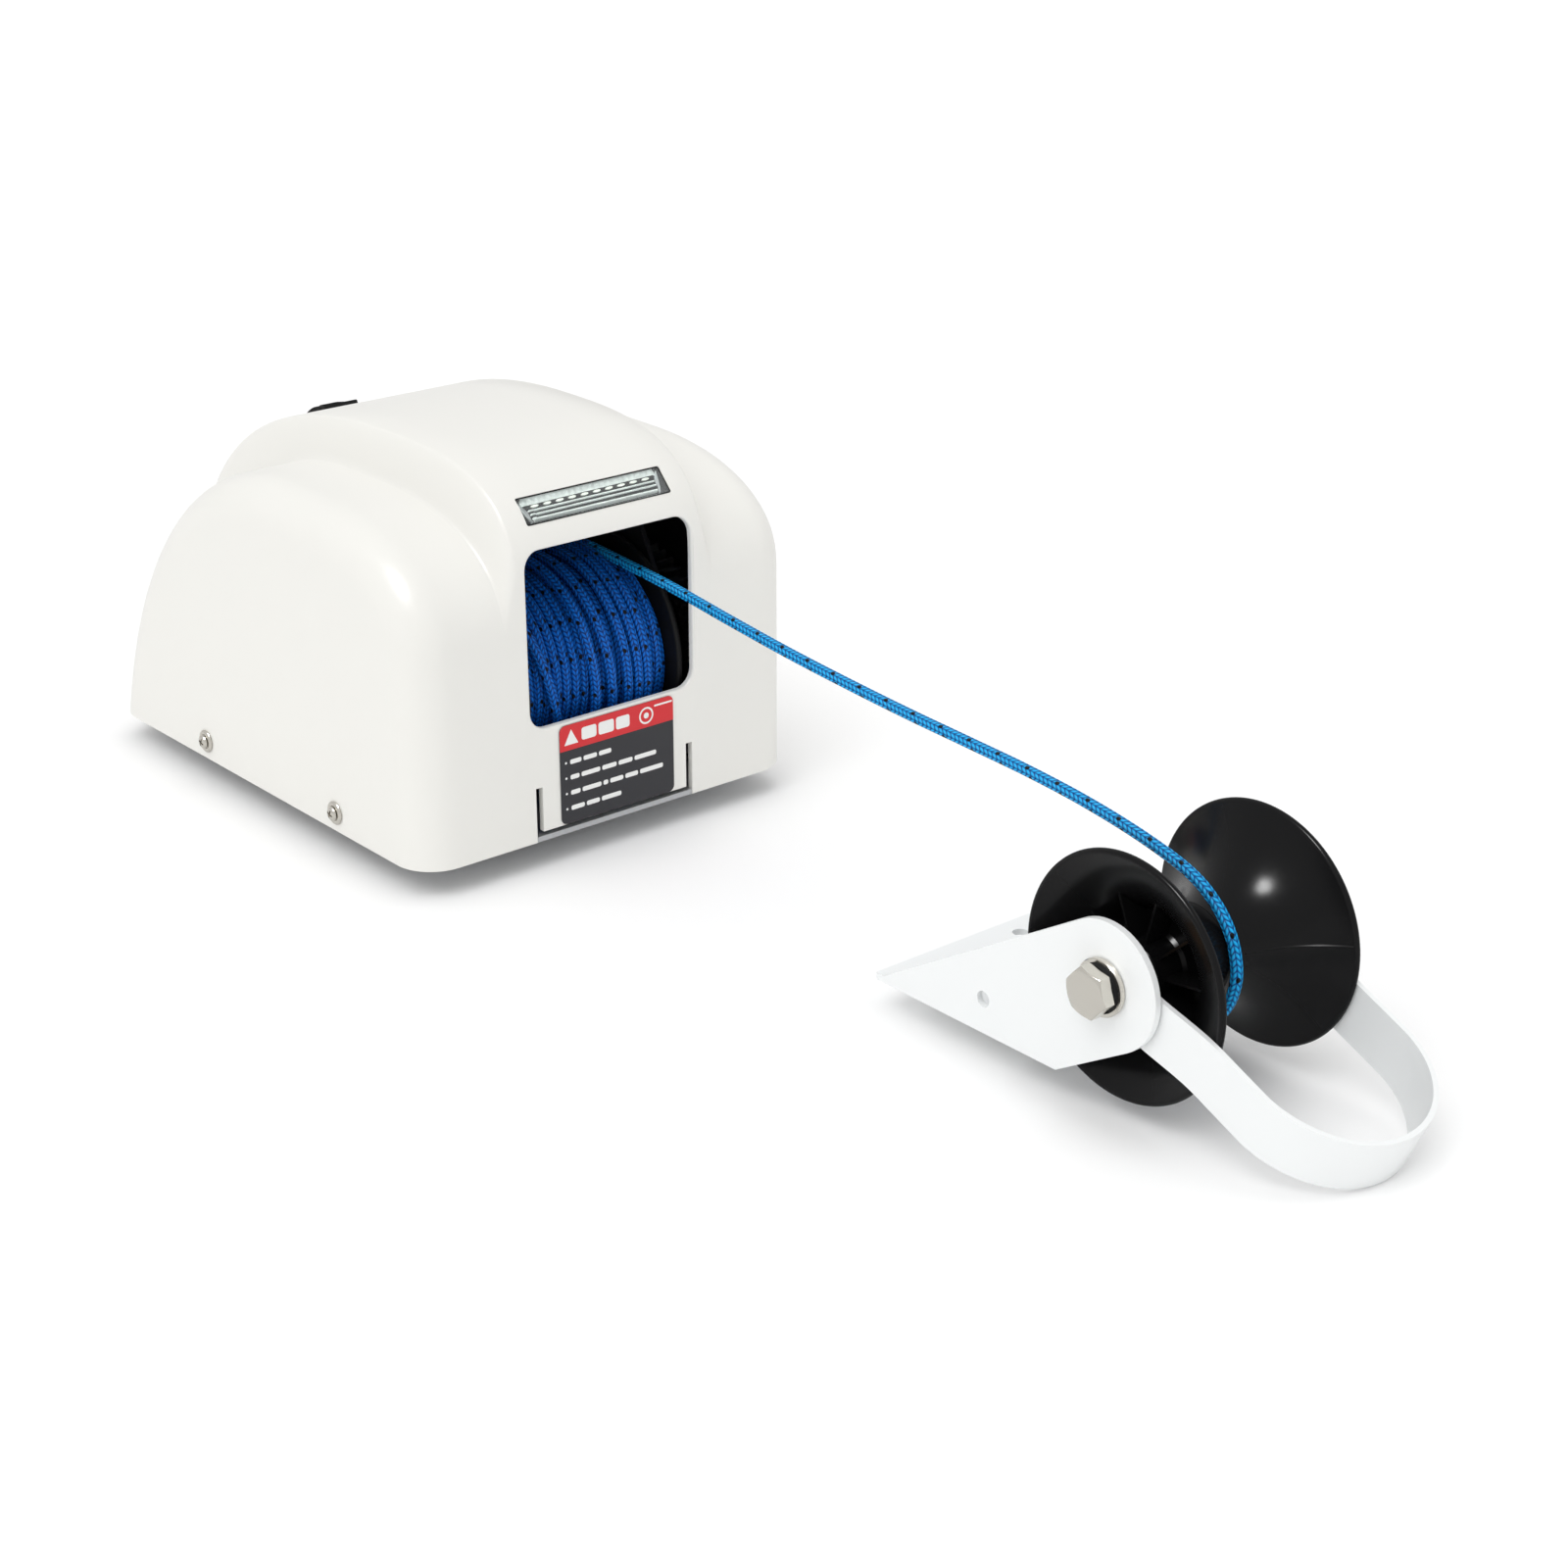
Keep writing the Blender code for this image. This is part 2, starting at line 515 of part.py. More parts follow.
def make_motor(idler_y, idler_z):
    axis = empty("motor_axis", 0, MOTOR_Y, MOTOR_Z)
    shell, spot = material("motor_enamel", BLACK, 0.4), (0.0, MOTOR_Y, MOTOR_Z)
    place(tube(-43.7, 34.0, MOTOR_RADIUS - 2.5, MOTOR_RADIUS, 28), "motor_can", shell, at=spot)
    rear = turned([(-48.4, 12.0), (-48.0, MOTOR_RADIUS), (-44.0, MOTOR_RADIUS)], 28)
    place(rear, "motor_rear_cap", shell, at=spot)
    tapped = [circle(0.0, s * 20.0, 2.8, 8) for s in (-1, 1)] + [circle(0.0, 0.0, 4.2, 20)]
    cap = slab(circle(0.0, 0.0, MOTOR_RADIUS, 28), 34.3, BRACKET_IN - GAP, axis="X", holes=tapped)
    place(cap, "motor_front_cap", material("cast_aluminium", (0.5, 0.5, 0.51), 0.5, 1.0), at=spot)
    magnet = place(slab(arc_block(23.8, 27.0, 0.0, radians(62.0)), -30.0, 26.0, axis="X"), "motor_magnet_1",
                   material("ferrite", (0.05, 0.05, 0.055), 0.6))
    repeat(magnet, ["motor_magnet_1", "motor_magnet_2"], [spot, (-4.0, MOTOR_Y, MOTOR_Z)], [0.0, pi])
    screw = turned([(-14.0, 2.4), (0.0, 2.4), (0.0, 4.2), (2.2, 4.2)], 10)
    names = ["motor_screw_1", "motor_screw_2"]
    screw_spots = [(BRACKET_OUT + GAP, MOTOR_Y, MOTOR_Z + s * 20.0) for s in (-1, 1)]
    repeat(place(screw, names[0], material("stainless", STEEL, 0.25, 1.0)), names, screw_spots, [0.0, 0.0])
    place(rod(-42.0, 84.0, 4.0, 20), "motor_shaft", material("stainless", STEEL, 0.25, 1.0), axis)
    place(tube(-28.0, 24.0, 4.3, 22.6, 24), "motor_armature", material("copper_wire", COPPER, 0.4, 1.0), axis)
    place(tube(-41.0, -30.0, 4.3, 11.0, 16), "motor_commutator", material("brass", BRASS, 0.3, 1.0), axis)
    toward = atan2(idler_z - MOTOR_Z, idler_y - MOTOR_Y) + pi / PINION_TEETH
    gear("motor_pinion", material("gear_steel", (0.42, 0.42, 0.44), 0.35, 1.0), axis, PINION_TEETH,
         FIRST_MODULE, toward, 67.0, 76.0, 4.3)


# ---- davit, roller and bail -------------------------------------------------------------------
def ear_outline():
    """The ear in (y, z): a slanted strip with a round end about the axle, cut off at the deck."""
    nose = []
    steps = 10
    for i in range(steps + 1):
        angle = pi / 2 - EAR_SLOPE + pi * i / steps
        nose.append((AXLE_Y + EAR_RADIUS * cos(angle), AXLE_Z + EAR_RADIUS * sin(angle)))
    slope = tan(EAR_SLOPE)
    tail = (nose[0][0] + nose[0][1] / slope, 0.0)
    toe = (nose[-1][0] + nose[-1][1] / slope, 0.0)
    return [tail] + nose + [toe]


def make_davit():
    ears, base = bmesh.new(), bmesh.new()
    outline = ear_outline()
    tail = outline[0][0]
    holes = [circle(AXLE_Y, AXLE_Z, BOLT_RADIUS + GAP, 20), circle(-414.8, 15.2, 3.5, 12)]
    for side in (-1, 1):
        x0, x1 = sorted((AXLE_X + side * EAR_HALF, AXLE_X + side * (EAR_HALF - SHEET)))
        slab(outline, x0, x1, axis="X", holes=holes, mesh=ears)
    davit = place(ears, "davit_bracket", material("white_powder_coat", GLOSS_WHITE, 0.35))
    half = EAR_HALF - 0.5
    feet = [circle(AXLE_X + s * 24.0, y, 3.6, 12) for s in (-1, 1) for y in (-422.0, -361.6)]
    slab(rect(AXLE_X - half, AXLE_X + half, -438.0, tail), 0.0, SHEET, holes=feet, mesh=base)
    apply_boolean(davit, place(base, "davit_base"), "UNION")


def flare(distance):
    """The roller's radius at a distance from its middle: a waist that flares to the rims."""
    reach, lift = 42.6, (RIM_RADIUS - WAIST_RADIUS)
    full = 1.0 - sqrt(1.0 - (ROLLER_HALF / reach) ** 2)
    return WAIST_RADIUS + lift * (1.0 - sqrt(1.0 - (distance / reach) ** 2)) / full


def make_roller():
    axis = empty("roller_axis", AXLE_X, AXLE_Y, AXLE_Z)
    black = material("black_roller_plastic", BLACK, 0.18)
    steps, bore, wall = 6, 8.6, 3.6
    distances = [ROLLER_HALF * sin(pi / 2 * i / steps) for i in range(steps + 1)]
    for side, name in ((-1, "roller_left"), (1, "roller_right")):
        outer = [(0.15 if d == 0.0 else d, flare(d)) for d in distances]
        rim = [(ROLLER_HALF + 0.8, RIM_RADIUS - 0.4), (ROLLER_HALF + 0.8, RIM_RADIUS - 2.6)]
        inner = [(d + wall * 0.75, flare(d) - wall * 0.9) for d in distances[-3:0:-2]]
        hub = [(16.0, 14.0), (34.0, 13.0), (34.0, bore), (0.15, bore)]
        profile = [(side * d, r) for d, r in outer + rim + inner + hub]
        place(turned(profile, 28, closed=True), name, black, axis)


def make_axle():
    steel = material("stainless", STEEL, 0.25, 1.0)
    face, inside = EAR_HALF, EAR_HALF - SHEET
    spot = (AXLE_X, AXLE_Y, AXLE_Z)
    shank = [(-face - 3.6, BOLT_RADIUS), (face + 14.0, BOLT_RADIUS), (face + 15.0, BOLT_RADIUS - 1.0)]
    axle = place(turned(shank, 20), "axle_bolt", steel, at=spot)
    hexagon = slab(circle(0.0, 0.0, 9.5 / cos(pi / 6), 6, radians(12.0)), -face - 10.8, -face - 3.0, axis="X")
    apply_boolean(axle, place(hexagon, "bolt_head", at=spot), "UNION")
    place(tube(-face - 2.6, -face - 0.3, BOLT_RADIUS + GAP, 12.0, 20), "head_washer", steel, at=spot)
    place(tube(face + 0.3, face + 2.6, BOLT_RADIUS + GAP, 12.0, 20), "nut_washer", steel, at=spot)
    nut = slab(circle(0.0, 0.0, 9.5 / cos(pi / 6), 6), face + 2.9, face + 12.4, axis="X",
               holes=[circle(0.0, 0.0, BOLT_RADIUS + GAP, 20)])
    place(nut, "axle_nut", steel, at=spot)
    sleeve = inside - GAP - BAIL_THICK - GAP
    bronze = material("bronze", (0.6, 0.42, 0.2), 0.35, 1.0)
    place(tube(-sleeve, sleeve, BOLT_RADIUS + GAP, 8.4, 24), "roller_sleeve", bronze, at=spot)


def bail_path():
    """Half of the strap's outer line, as (reach from the axle, distance from the middle)."""
    outside = EAR_HALF - SHEET - GAP
    narrow = 42.2
    bend = BAIL_REACH - narrow
    points = [(-12.5, outside), (14.0, outside), (28.0, outside - 1.6), (44.0, narrow + 0.7), (58.0, narrow)]
    steps = 8
    for i in range(steps + 1):
        angle = pi / 2 * i / steps
        points.append((bend + (BAIL_REACH - bend) * sin(angle), narrow * cos(angle)))
    return points


def make_bail():
    axis = empty("bail_axis", AXLE_X, AXLE_Y, AXLE_Z, tilt=BAIL_TILT)
    half = bail_path()
    line = half[:-1] + [(half[-1][0], 0.0)] + [(s, -w) for s, w in reversed(half[:-1])]
    normals = outward(line)
    outer = [(-w, -s) for s, w in line]
    inner = [(-w + BAIL_THICK * n[1], -s + BAIL_THICK * n[0]) for (s, w), n in zip(line, normals)]
    strap = slab(outer + list(reversed(inner)), -BAIL_WIDTH / 2, BAIL_WIDTH / 2)
    bail = place(strap, "bail_strap", material("white_powder_coat", GLOSS_WHITE, 0.35), axis)
    drill = turned([(-60.0, BOLT_RADIUS + 0.2), (60.0, BOLT_RADIUS + 0.2)], 24)
    apply_boolean(bail, place(drill, "bail_drill", parent=axis), "DIFFERENCE")


# ---- rope ---------------------------------------------------------------------------------------
def smooth_route(route, count):
    """Evenly spaced points on a smooth curve through the route's own points."""
    points = [Vector((ROPE_X, y, z)) for y, z in route]
    padded = [2 * points[0] - points[1]] + points + [2 * points[-1] - points[-2]]
    dense = []
    for a, b, c, d in zip(padded, padded[1:], padded[2:], padded[3:]):
        for i in range(24):
            t = i / 24
            dense.append(0.5 * (2 * b + (c - a) * t + (2 * a - 5 * b + 4 * c - d) * t * t
                                + (3 * b - a - 3 * c + d) * t ** 3))
    dense.append(points[-1])
    lengths = [0.0]
    for before, after in zip(dense, dense[1:]):
        lengths.append(lengths[-1] + (after - before).length)
    result, k = [], 0
    for i in range(count):
        target = lengths[-1] * i / (count - 1)
        while k < len(lengths) - 2 and lengths[k + 1] < target:
            k += 1
        share = (target - lengths[k]) / (lengths[k + 1] - lengths[k])
        result.append(dense[k].lerp(dense[k + 1], share))
    return result


def make_rope():
    blue = material("blue_rope", BLUE, 0.8)
    points = smooth_route(ROPE_ROUTE, ROPE_POINTS)
    curve = bpy.data.curves.new("rope_run", "CURVE")
    curve.dimensions = "3D"
    curve.bevel_depth = ROPE_DIAMETER / 2 * MM
    curve.bevel_resolution = 2
    curve.use_fill_caps = True
    spline = curve.splines.new("POLY")
    spline.points.add(len(points) - 1)
    for slot, point in zip(spline.points, points):
        slot.co = (*(point * MM), 1.0)
    curve.materials.append(blue)
    bpy.context.collection.objects.link(bpy.data.objects.new("rope_run", curve))
    end, step = points[-1], (points[-1] - points[-2]).normalized()
    knot = turned([(0.35, 2.5), (3.0, 6.0), (7.0, 7.0), (11.0, 6.0), (13.5, 2.5)], 10, axis="Z")
    ball = place(knot, "rope_knot", blue, at=end)
    ball.rotation_euler = Vector((0.0, 0.0, 1.0)).rotation_difference(step).to_euler()


def main():
    clear_scene()
    light = empty("light_mount", 0, LIGHT_Y, LIGHT_Z, LIGHT_TILT)
    switch_z, slope = hump_height(SWITCH_Y)
    switch = empty("switch_mount", SWITCH_X, SWITCH_Y, switch_z, -slope * 180 / pi)
    gland = empty("gland_mount", 76.0, 138.3, 17.0, -72.5)
    make_cover(light, switch, gland)
    make_cover_trim()
    make_tray()
    idler_y, idler_z = gear_centres()
    make_brackets(idler_y, idler_z)
    make_electrics()
    make_light(light)
    make_switch(switch)
    make_gland(gland)
    make_drum(idler_y, idler_z)
    make_idler(idler_y, idler_z)
    make_motor(idler_y, idler_z)
    make_davit()
    make_roller()
    make_axle()
    make_bail()
    make_rope()


main()
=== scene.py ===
"""The visible pieces of an electric anchor windlass and its bow roller, built on their CAD frame.

Run as a script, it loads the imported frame, builds each piece and lights a plain studio. Mesh code
works in millimetres, in the frame's own axes: -Y is the bow, +X the right seen from the bow.
"""

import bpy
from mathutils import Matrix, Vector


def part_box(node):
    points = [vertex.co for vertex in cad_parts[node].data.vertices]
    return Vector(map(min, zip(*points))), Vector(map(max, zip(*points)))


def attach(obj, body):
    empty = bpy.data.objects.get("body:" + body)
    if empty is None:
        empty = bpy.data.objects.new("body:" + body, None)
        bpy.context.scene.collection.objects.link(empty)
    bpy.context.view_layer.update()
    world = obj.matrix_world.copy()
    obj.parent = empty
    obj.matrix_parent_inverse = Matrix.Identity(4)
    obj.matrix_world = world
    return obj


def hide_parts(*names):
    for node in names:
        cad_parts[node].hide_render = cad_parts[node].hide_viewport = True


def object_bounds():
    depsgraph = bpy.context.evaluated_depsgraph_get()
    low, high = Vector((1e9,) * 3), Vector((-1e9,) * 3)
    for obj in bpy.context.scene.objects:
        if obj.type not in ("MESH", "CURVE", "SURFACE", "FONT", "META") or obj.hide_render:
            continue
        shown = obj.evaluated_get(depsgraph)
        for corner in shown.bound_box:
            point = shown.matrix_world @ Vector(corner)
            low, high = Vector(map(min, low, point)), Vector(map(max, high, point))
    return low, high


bl_info = {
    "name": "Anchor Windlass",
    "version": (1, 0, 0),
    "blender": (4, 5, 0),
    "location": "View3D > Sidebar > Windlass",
    "description": "Builds the visible pieces of an anchor windlass and its bow roller on a CAD frame",
    "category": "Add Mesh",
}

from collections import namedtuple
from math import acos, atan2, cos, hypot, pi, radians, sin, sqrt

import bmesh
import bpy
from bpy.props import FloatProperty, FloatVectorProperty, IntProperty, PointerProperty
from bpy.types import Operator, Panel, PropertyGroup
from mathutils import Matrix, Vector
from mathutils.geometry import tessellate_polygon

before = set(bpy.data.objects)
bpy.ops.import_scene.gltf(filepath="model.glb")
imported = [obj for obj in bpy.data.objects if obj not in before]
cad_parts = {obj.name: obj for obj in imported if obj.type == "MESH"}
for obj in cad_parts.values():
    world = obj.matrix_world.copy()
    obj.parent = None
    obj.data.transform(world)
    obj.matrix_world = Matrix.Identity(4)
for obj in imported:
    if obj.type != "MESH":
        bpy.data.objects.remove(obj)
CAD_LOW, CAD_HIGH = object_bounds()
MM = 0.001


# ---- the frame, in millimetres ---------------------------------------------------------------
def span(node):
    """A CAD node's lowest and highest corner."""
    low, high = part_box(node)
    return low / MM, high / MM


def middle(node):
    low, high = span(node)
    return (low + high) / 2


COVER_LOW, COVER_HIGH = span("cover")
HALF_WIDTH, HALF_DEPTH = COVER_HIGH.x, -COVER_LOW.y
DRUM_LOW, DRUM_HIGH = span("drum_spool")
DRUM = middle("drum_spool")
FLANGE_RADIUS = (DRUM_HIGH.z - DRUM_LOW.z) / 2
WINDING_LOW, WINDING_HIGH = span("rope_winding")
AXLE = middle("roller_sleeve")
EARS_LOW, EARS_HIGH = span("davit_bracket")
RIM_RADIUS = (span("roller_left")[1].z - span("roller_left")[0].z) / 2
ROLLER_REACH = AXLE.x - span("roller_left")[0].x

Arch = namedtuple("Arch", "front_spring front_power front_crown rear_crown height rear_spring rear_power")
SHOULDER = Arch(99.7, 2.39, -44.7, -17.8, 156.1, -89.7, 2.08)
HUMP = Arch(119.6, 2.76, -50.0, -45.0, COVER_HIGH.z, 51.8, 2.22)
HUMP_IN, HUMP_OUT = 51.6, 61.2
LIGHT_TILT = radians(45.0)
LIGHT_PLACE = Matrix.Translation((0.0, -131.3, 156.2)) @ Matrix.Rotation(LIGHT_TILT, 4, "X")
BAIL_TILT = radians(24.0)

# the free rope's route off the drum and round the roller, as (bow to stern, height) in the
# plane of the roller's middle, in metres
ROPE_ROUTE = (
    (-0.0884, 0.1154), (-0.1200, 0.1133), (-0.1543, 0.1105), (-0.1972, 0.1056), (-0.2383, 0.1014),
    (-0.2778, 0.0983), (-0.3157, 0.0959), (-0.3520, 0.0942), (-0.3869, 0.0924), (-0.4206, 0.0893),
    (-0.4531, 0.0841), (-0.4772, 0.0776), (-0.4910, 0.0692), (-0.4994, 0.0586), (-0.5030, 0.0475),
    (-0.5030, 0.0385), (-0.4996, 0.0286), (-0.4918, 0.0192), (-0.4800, 0.0146), (-0.4700, 0.0156),
)


def linear(hex_colour):
    """An sRGB hex colour as linear red, green, blue and alpha."""
    channels = [int(hex_colour[i:i + 2], 16) / 255 for i in (1, 3, 5)]
    lit = [c / 12.92 if c <= 0.04045 else ((c + 0.055) / 1.055) ** 2.4 for c in channels]
    return (*lit, 1.0)


# ---- settings --------------------------------------------------------------------------------
def length_setting(name, description, default_mm):
    return FloatProperty(name=name, description=description, default=default_mm * MM, unit="LENGTH",
                         precision=5)


def colour_setting(name, description, hex_colour):
    return FloatVectorProperty(name=name, description=description, default=linear(hex_colour),
                               subtype="COLOR", size=4, min=0.0, max=1.0)


class HousingSettings(PropertyGroup):
    wall: length_setting("Wall", "Thickness of the moulded cover", 3.0)
    edge_radius: length_setting("Edge radius", "Rounding between the sides and the arch", 20.0)
    window_half: length_setting("Window half width", "Half the rope window's width", 47.4)
    window_low: length_setting("Window sill", "Height of the rope window's lower edge", 55.5)
    window_high: length_setting("Window head", "Height of the rope window's upper edge", 140.4)
    window_radius: length_setting("Window corner", "Corner radius of the rope window", 9.0)
    window_lip: length_setting("Window lip", "Rounding of the rope window's outer edge", 1.1)
    slot_in: length_setting("Slot inside", "Middle of the cover to the near side of a slot", 42.2)
    slot_out: length_setting("Slot outside", "Middle of the cover to the far side of a slot", 46.0)
    slot_top: length_setting("Slot top", "Height of the slots beside the tongue", 27.0)
    tongue_low: length_setting("Tongue edge", "Height of the tongue's lower edge", 4.7)
    shell_colour: colour_setting("Cover", "Colour of the moulded cover", "#EFEEE9")
    label_dark: colour_setting("Label field", "Colour of the label's lower field", "#2A2A2F")
    label_red: colour_setting("Label band", "Colour of the label's upper band", "#D9222A")


class RollerSettings(PropertyGroup):
    waist_radius: length_setting("Waist radius", "Smallest radius, where the rope runs", 20.0)
    wall: length_setting("Wall", "Thickness of the flared wall", 3.4)
    ribs: IntProperty(name="Ribs", description="Fins inside each dish", default=10, min=3, max=12)
    rib_thickness: length_setting("Rib thickness", "Thickness of one fin", 1.2)
    plastic_colour: colour_setting("Roller", "Colour of the moulded rollers", "#141415")


class BracketSettings(PropertyGroup):
    sheet: length_setting("Sheet", "Thickness of the bent steel sheet", 3.0)
    edge: length_setting("Edge rounding", "Rounding of cut edges under the coating", 0.7)
    bail_width: length_setting("Bail width", "Width of the bail's strap", 25.0)
    bail_thick: length_setting("Bail thickness", "Thickness of the bail's strap", 2.2)
    bail_reach: length_setting("Bail reach", "Axle to the far side of the bail", 117.0)
    coat_colour: colour_setting("Coating", "Colour of the powder coating", "#F4F6F6")


class RopeSettings(PropertyGroup):
    diameter: length_setting("Diameter", "Diameter of the braided rope", 5.1)
    pick: length_setting("Pick", "Length of one pick of the braid along the rope", 2.5)
    fleck_pitch: length_setting("Fleck pitch", "Rope length between tracer flecks", 17.3)
    strands: IntProperty(name="Strands", description="Rows of picks round the rope", default=8, min=6, max=24)
    fleck_turn: FloatProperty(name="Fleck turn", default=0.16, min=0.0, max=1.0,
                              description="Where the flecks start, in turns round the rope")
    # the braid's lit colour is lightened as a painted highlight on the picks' crowns, and its shade colour is
    # painted shade between the picks
    blue: colour_setting("Rope", "Colour of the braid", "#1FBAFF")
    shade: colour_setting("Rope shade", "Colour between the picks", "#002F7E")
    # the wound rope's two colours are darker than the free rope's: painted shade for the turns inside the
    # cover
    wound: colour_setting("Wound rope", "Colour of the braid where it is packed on the drum", "#0A72DC")
    wound_shade: colour_setting("Wound shade", "Colour between the picks on the drum", "#00205C")
    fleck: colour_setting("Fleck", "Colour of the tracer flecks", "#05060C")


class StudioSettings(PropertyGroup):
    azimuth: FloatProperty(name="Azimuth", description="Camera's turn about the object, from the bow",
                           default=radians(-40.23), subtype="ANGLE")
    elevation: FloatProperty(name="Elevation", description="Camera's height above the horizon",
                             default=radians(22.53), subtype="ANGLE")
    distance: FloatProperty(name="Distance", description="Camera to the middle of the object",
                            default=1.42684, unit="LENGTH")
    target: FloatVectorProperty(name="Target", description="Point that the camera looks at",
                                default=(0.08755, -0.16238, 0.0), subtype="TRANSLATION")
    lens: FloatProperty(name="Lens", description="Focal length on a 36 mm sensor, in millimetres",
                        default=67.173)
    sky: FloatProperty(name="Sky", description="Strength of the even light all round", default=0.76)
    sky_in_gloss: FloatProperty(name="Sky in gloss", description="Strength of the sky in reflections",
                                default=0.7)
    key: FloatProperty(name="Key light", description="Strength of the broad key light", default=0.66)
    top: FloatProperty(name="Top light", description="Strength of the soft light overhead", default=0.45)
    sparkle: FloatProperty(name="Sparkle", description="Strength of the light seen only in gloss",
                           default=3.2)
    floor_colour: colour_setting("Floor", "Colour of the studio floor", "#FFFFFF")


# ---- materials -------------------------------------------------------------------------------
DRIFTS = 22.0                               # slow drifts of colour, in each metre
MIX, MIX_A, MIX_B, MIX_OUT = 0, 6, 7, 2     # a Mix node's sockets when it mixes colours
SPECULAR = "Specular IOR Level"
FLECK_MM = (0.95, 1.15)                     # a tracer fleck's half width round the rope and along it


def add_node(tree, kind, inputs=None, **settings):
    """Add a node, set its properties, and set or link its inputs."""
    made = tree.nodes.new(kind)
    for name, value in settings.items():
        setattr(made, name, value)
    for key, value in (inputs or {}).items():
        if isinstance(value, bpy.types.Node):
            value = value.outputs[0]
        if isinstance(value, bpy.types.NodeSocket):
            tree.links.new(value, made.inputs[key])
        else:
            made.inputs[key].default_value = value
    return made


def blank(name):
    mat = bpy.data.materials.new(name)
    mat.use_nodes = True
    mat.node_tree.nodes.clear()
    return mat, mat.node_tree


def grained(name, colour, roughness, grain_mm, depth_mm, variation, stretch=(1.0, 1.0, 1.0), **sockets):
    """A surface with grain of a real size: noise bends the light, and shifts colour and gloss."""
    mat, tree = blank(name)
    place = add_node(tree, "ShaderNodeTexCoord")
    scaled = add_node(tree, "ShaderNodeMapping", {"Vector": place.outputs["Object"], "Scale": stretch})
    fine = add_node(tree, "ShaderNodeTexNoise", {"Vector": scaled, "Scale": 1.0 / (grain_mm * MM),
                                                 "Detail": 3.0})
    broad = add_node(tree, "ShaderNodeTexNoise", {"Vector": place.outputs["Object"],
                                                  "Scale": DRIFTS, "Detail": 2.0})
    darker = tuple(c * (1.0 - variation) for c in colour[:3]) + (1.0,)
    tint = add_node(tree, "ShaderNodeMix", {MIX: broad.outputs["Fac"], MIX_A: darker, MIX_B: tuple(colour)},
                    data_type="RGBA")
    gloss = add_node(tree, "ShaderNodeMapRange", {"Value": fine.outputs["Fac"], "To Min": roughness * 0.85,
                                                  "To Max": roughness * 1.15})
    bump = add_node(tree, "ShaderNodeBump", {"Height": fine.outputs["Fac"], "Distance": depth_mm * MM,
                                             "Strength": 1.0})
    shader = add_node(tree, "ShaderNodeBsdfPrincipled", {"Base Color": tint.outputs[MIX_OUT],
                                                         "Roughness": gloss, "Normal": bump, **sockets})
    add_node(tree, "ShaderNodeOutputMaterial", {"Surface": shader})
    return mat


def seen_otherwise(mat, ray, kind, inputs):
    """Let one kind of ray meet another shader in place of a material's own."""
    tree = mat.node_tree
    output = next(n for n in tree.nodes if n.type == "OUTPUT_MATERIAL")
    own = output.inputs["Surface"].links[0].from_socket
    rays = add_node(tree, "ShaderNodeLightPath")
    other = add_node(tree, kind, inputs)
    both = add_node(tree, "ShaderNodeMixShader", {"Fac": rays.outputs[ray], 1: own, 2: other})
    tree.links.new(both.outputs[0], output.inputs["Surface"])
    return mat


def ivory_abs(settings):
    """Injection-moulded ABS: warm white with a soft gloss and a faint orange peel."""
    return grained("ivory_abs", settings.shell_colour, 0.30, 2.5, 0.004, 0.012, **{SPECULAR: 0.35})


def powder_coat(settings):
    """Powder-coated steel: cool white and glossy, with the coat's fine ripple."""
    return grained("white_powder_coat", settings.coat_colour, 0.30, 1.4, 0.003, 0.01, **{SPECULAR: 0.35})


def roller_plastic(settings):
    """Moulded polyethylene, polished by the mould: deep black with a soft gloss."""
    return grained("black_roller_plastic", settings.plastic_colour, 0.22, 3.0, 0.01, 0.2, **{SPECULAR: 0.15})


def black_nylon():
    """Glass-filled nylon from a spark-eroded mould: near black and matt, with a fine tooth."""
    return grained("black_nylon", linear("#121213"), 0.5, 0.5, 0.02, 0.2, **{SPECULAR: 0.2})


def black_rubber():
    """Soft moulded rubber: black, with a dull sheen that grips the thumb."""
    return grained("black_rubber", linear("#101011"), 0.6, 0.4, 0.02, 0.2, **{SPECULAR: 0.2})


def stainless():
    """Turned and forged stainless steel: bright and slightly warm, with fine tool marks."""
    return grained("stainless_steel", linear("#DDD9D0"), 0.22, 0.35, 0.004, 0.08, Metallic=1.0)


def zinc_plate():
    """Zinc-plated sheet steel, cold rolled: grey with rolling lines along its length."""
    return grained("zinc_plated_steel", linear("#C8CACC"), 0.42, 0.8, 0.006, 0.1, (1.0, 0.08, 1.0),
                   Metallic=0.7)


def charcoal_zinc():
    """Zinc-plated sheet steel in charcoal, with a dull metal sheen."""
    return grained("charcoal_zinc_plated_steel", linear("#2B2B2E"), 0.5, 0.8, 0.006, 0.15, (1.0, 0.08, 1.0),
                   Metallic=0.6)


def gear_steel():
    """Hobbed carbon steel: dark grey."""
    return grained("hobbed_steel", linear("#4C4C50"), 0.42, 0.4, 0.01, 0.2, Metallic=1.0)


def bronze():
    """Sintered bronze, oil filled: brown gold and grainy."""
    return grained("sintered_bronze", linear("#B07F43"), 0.42, 0.3, 0.02, 0.2, Metallic=1.0)


def brass():
    """Drawn brass, skimmed on a lathe: yellow with fine rings."""
    return grained("turned_brass", linear("#D0AA5E"), 0.28, 0.3, 0.005, 0.1, Metallic=1.0)


def copper_wire():
    """Enamelled copper wire, wound: red brown under a clear lacquer."""
    return grained("enamelled_copper", linear("#B4673A"), 0.3, 0.6, 0.08, 0.25, (0.1, 1.0, 1.0), Metallic=1.0)


def cast_aluminium():
    """Die-cast aluminium, as cast: pale grey with a soft grain."""
    return grained("cast_aluminium", linear("#A9AAAC"), 0.45, 0.7, 0.03, 0.1, Metallic=1.0)


def motor_enamel():
    """Baked enamel on drawn steel: satin black."""
    return grained("motor_enamel", linear("#1A1A1C"), 0.38, 1.0, 0.012, 0.2)


def ferrite():
    """Sintered ferrite: charcoal, matt and grainy."""
    return grained("ferrite", linear("#3A3A3D"), 0.7, 0.3, 0.03, 0.2)


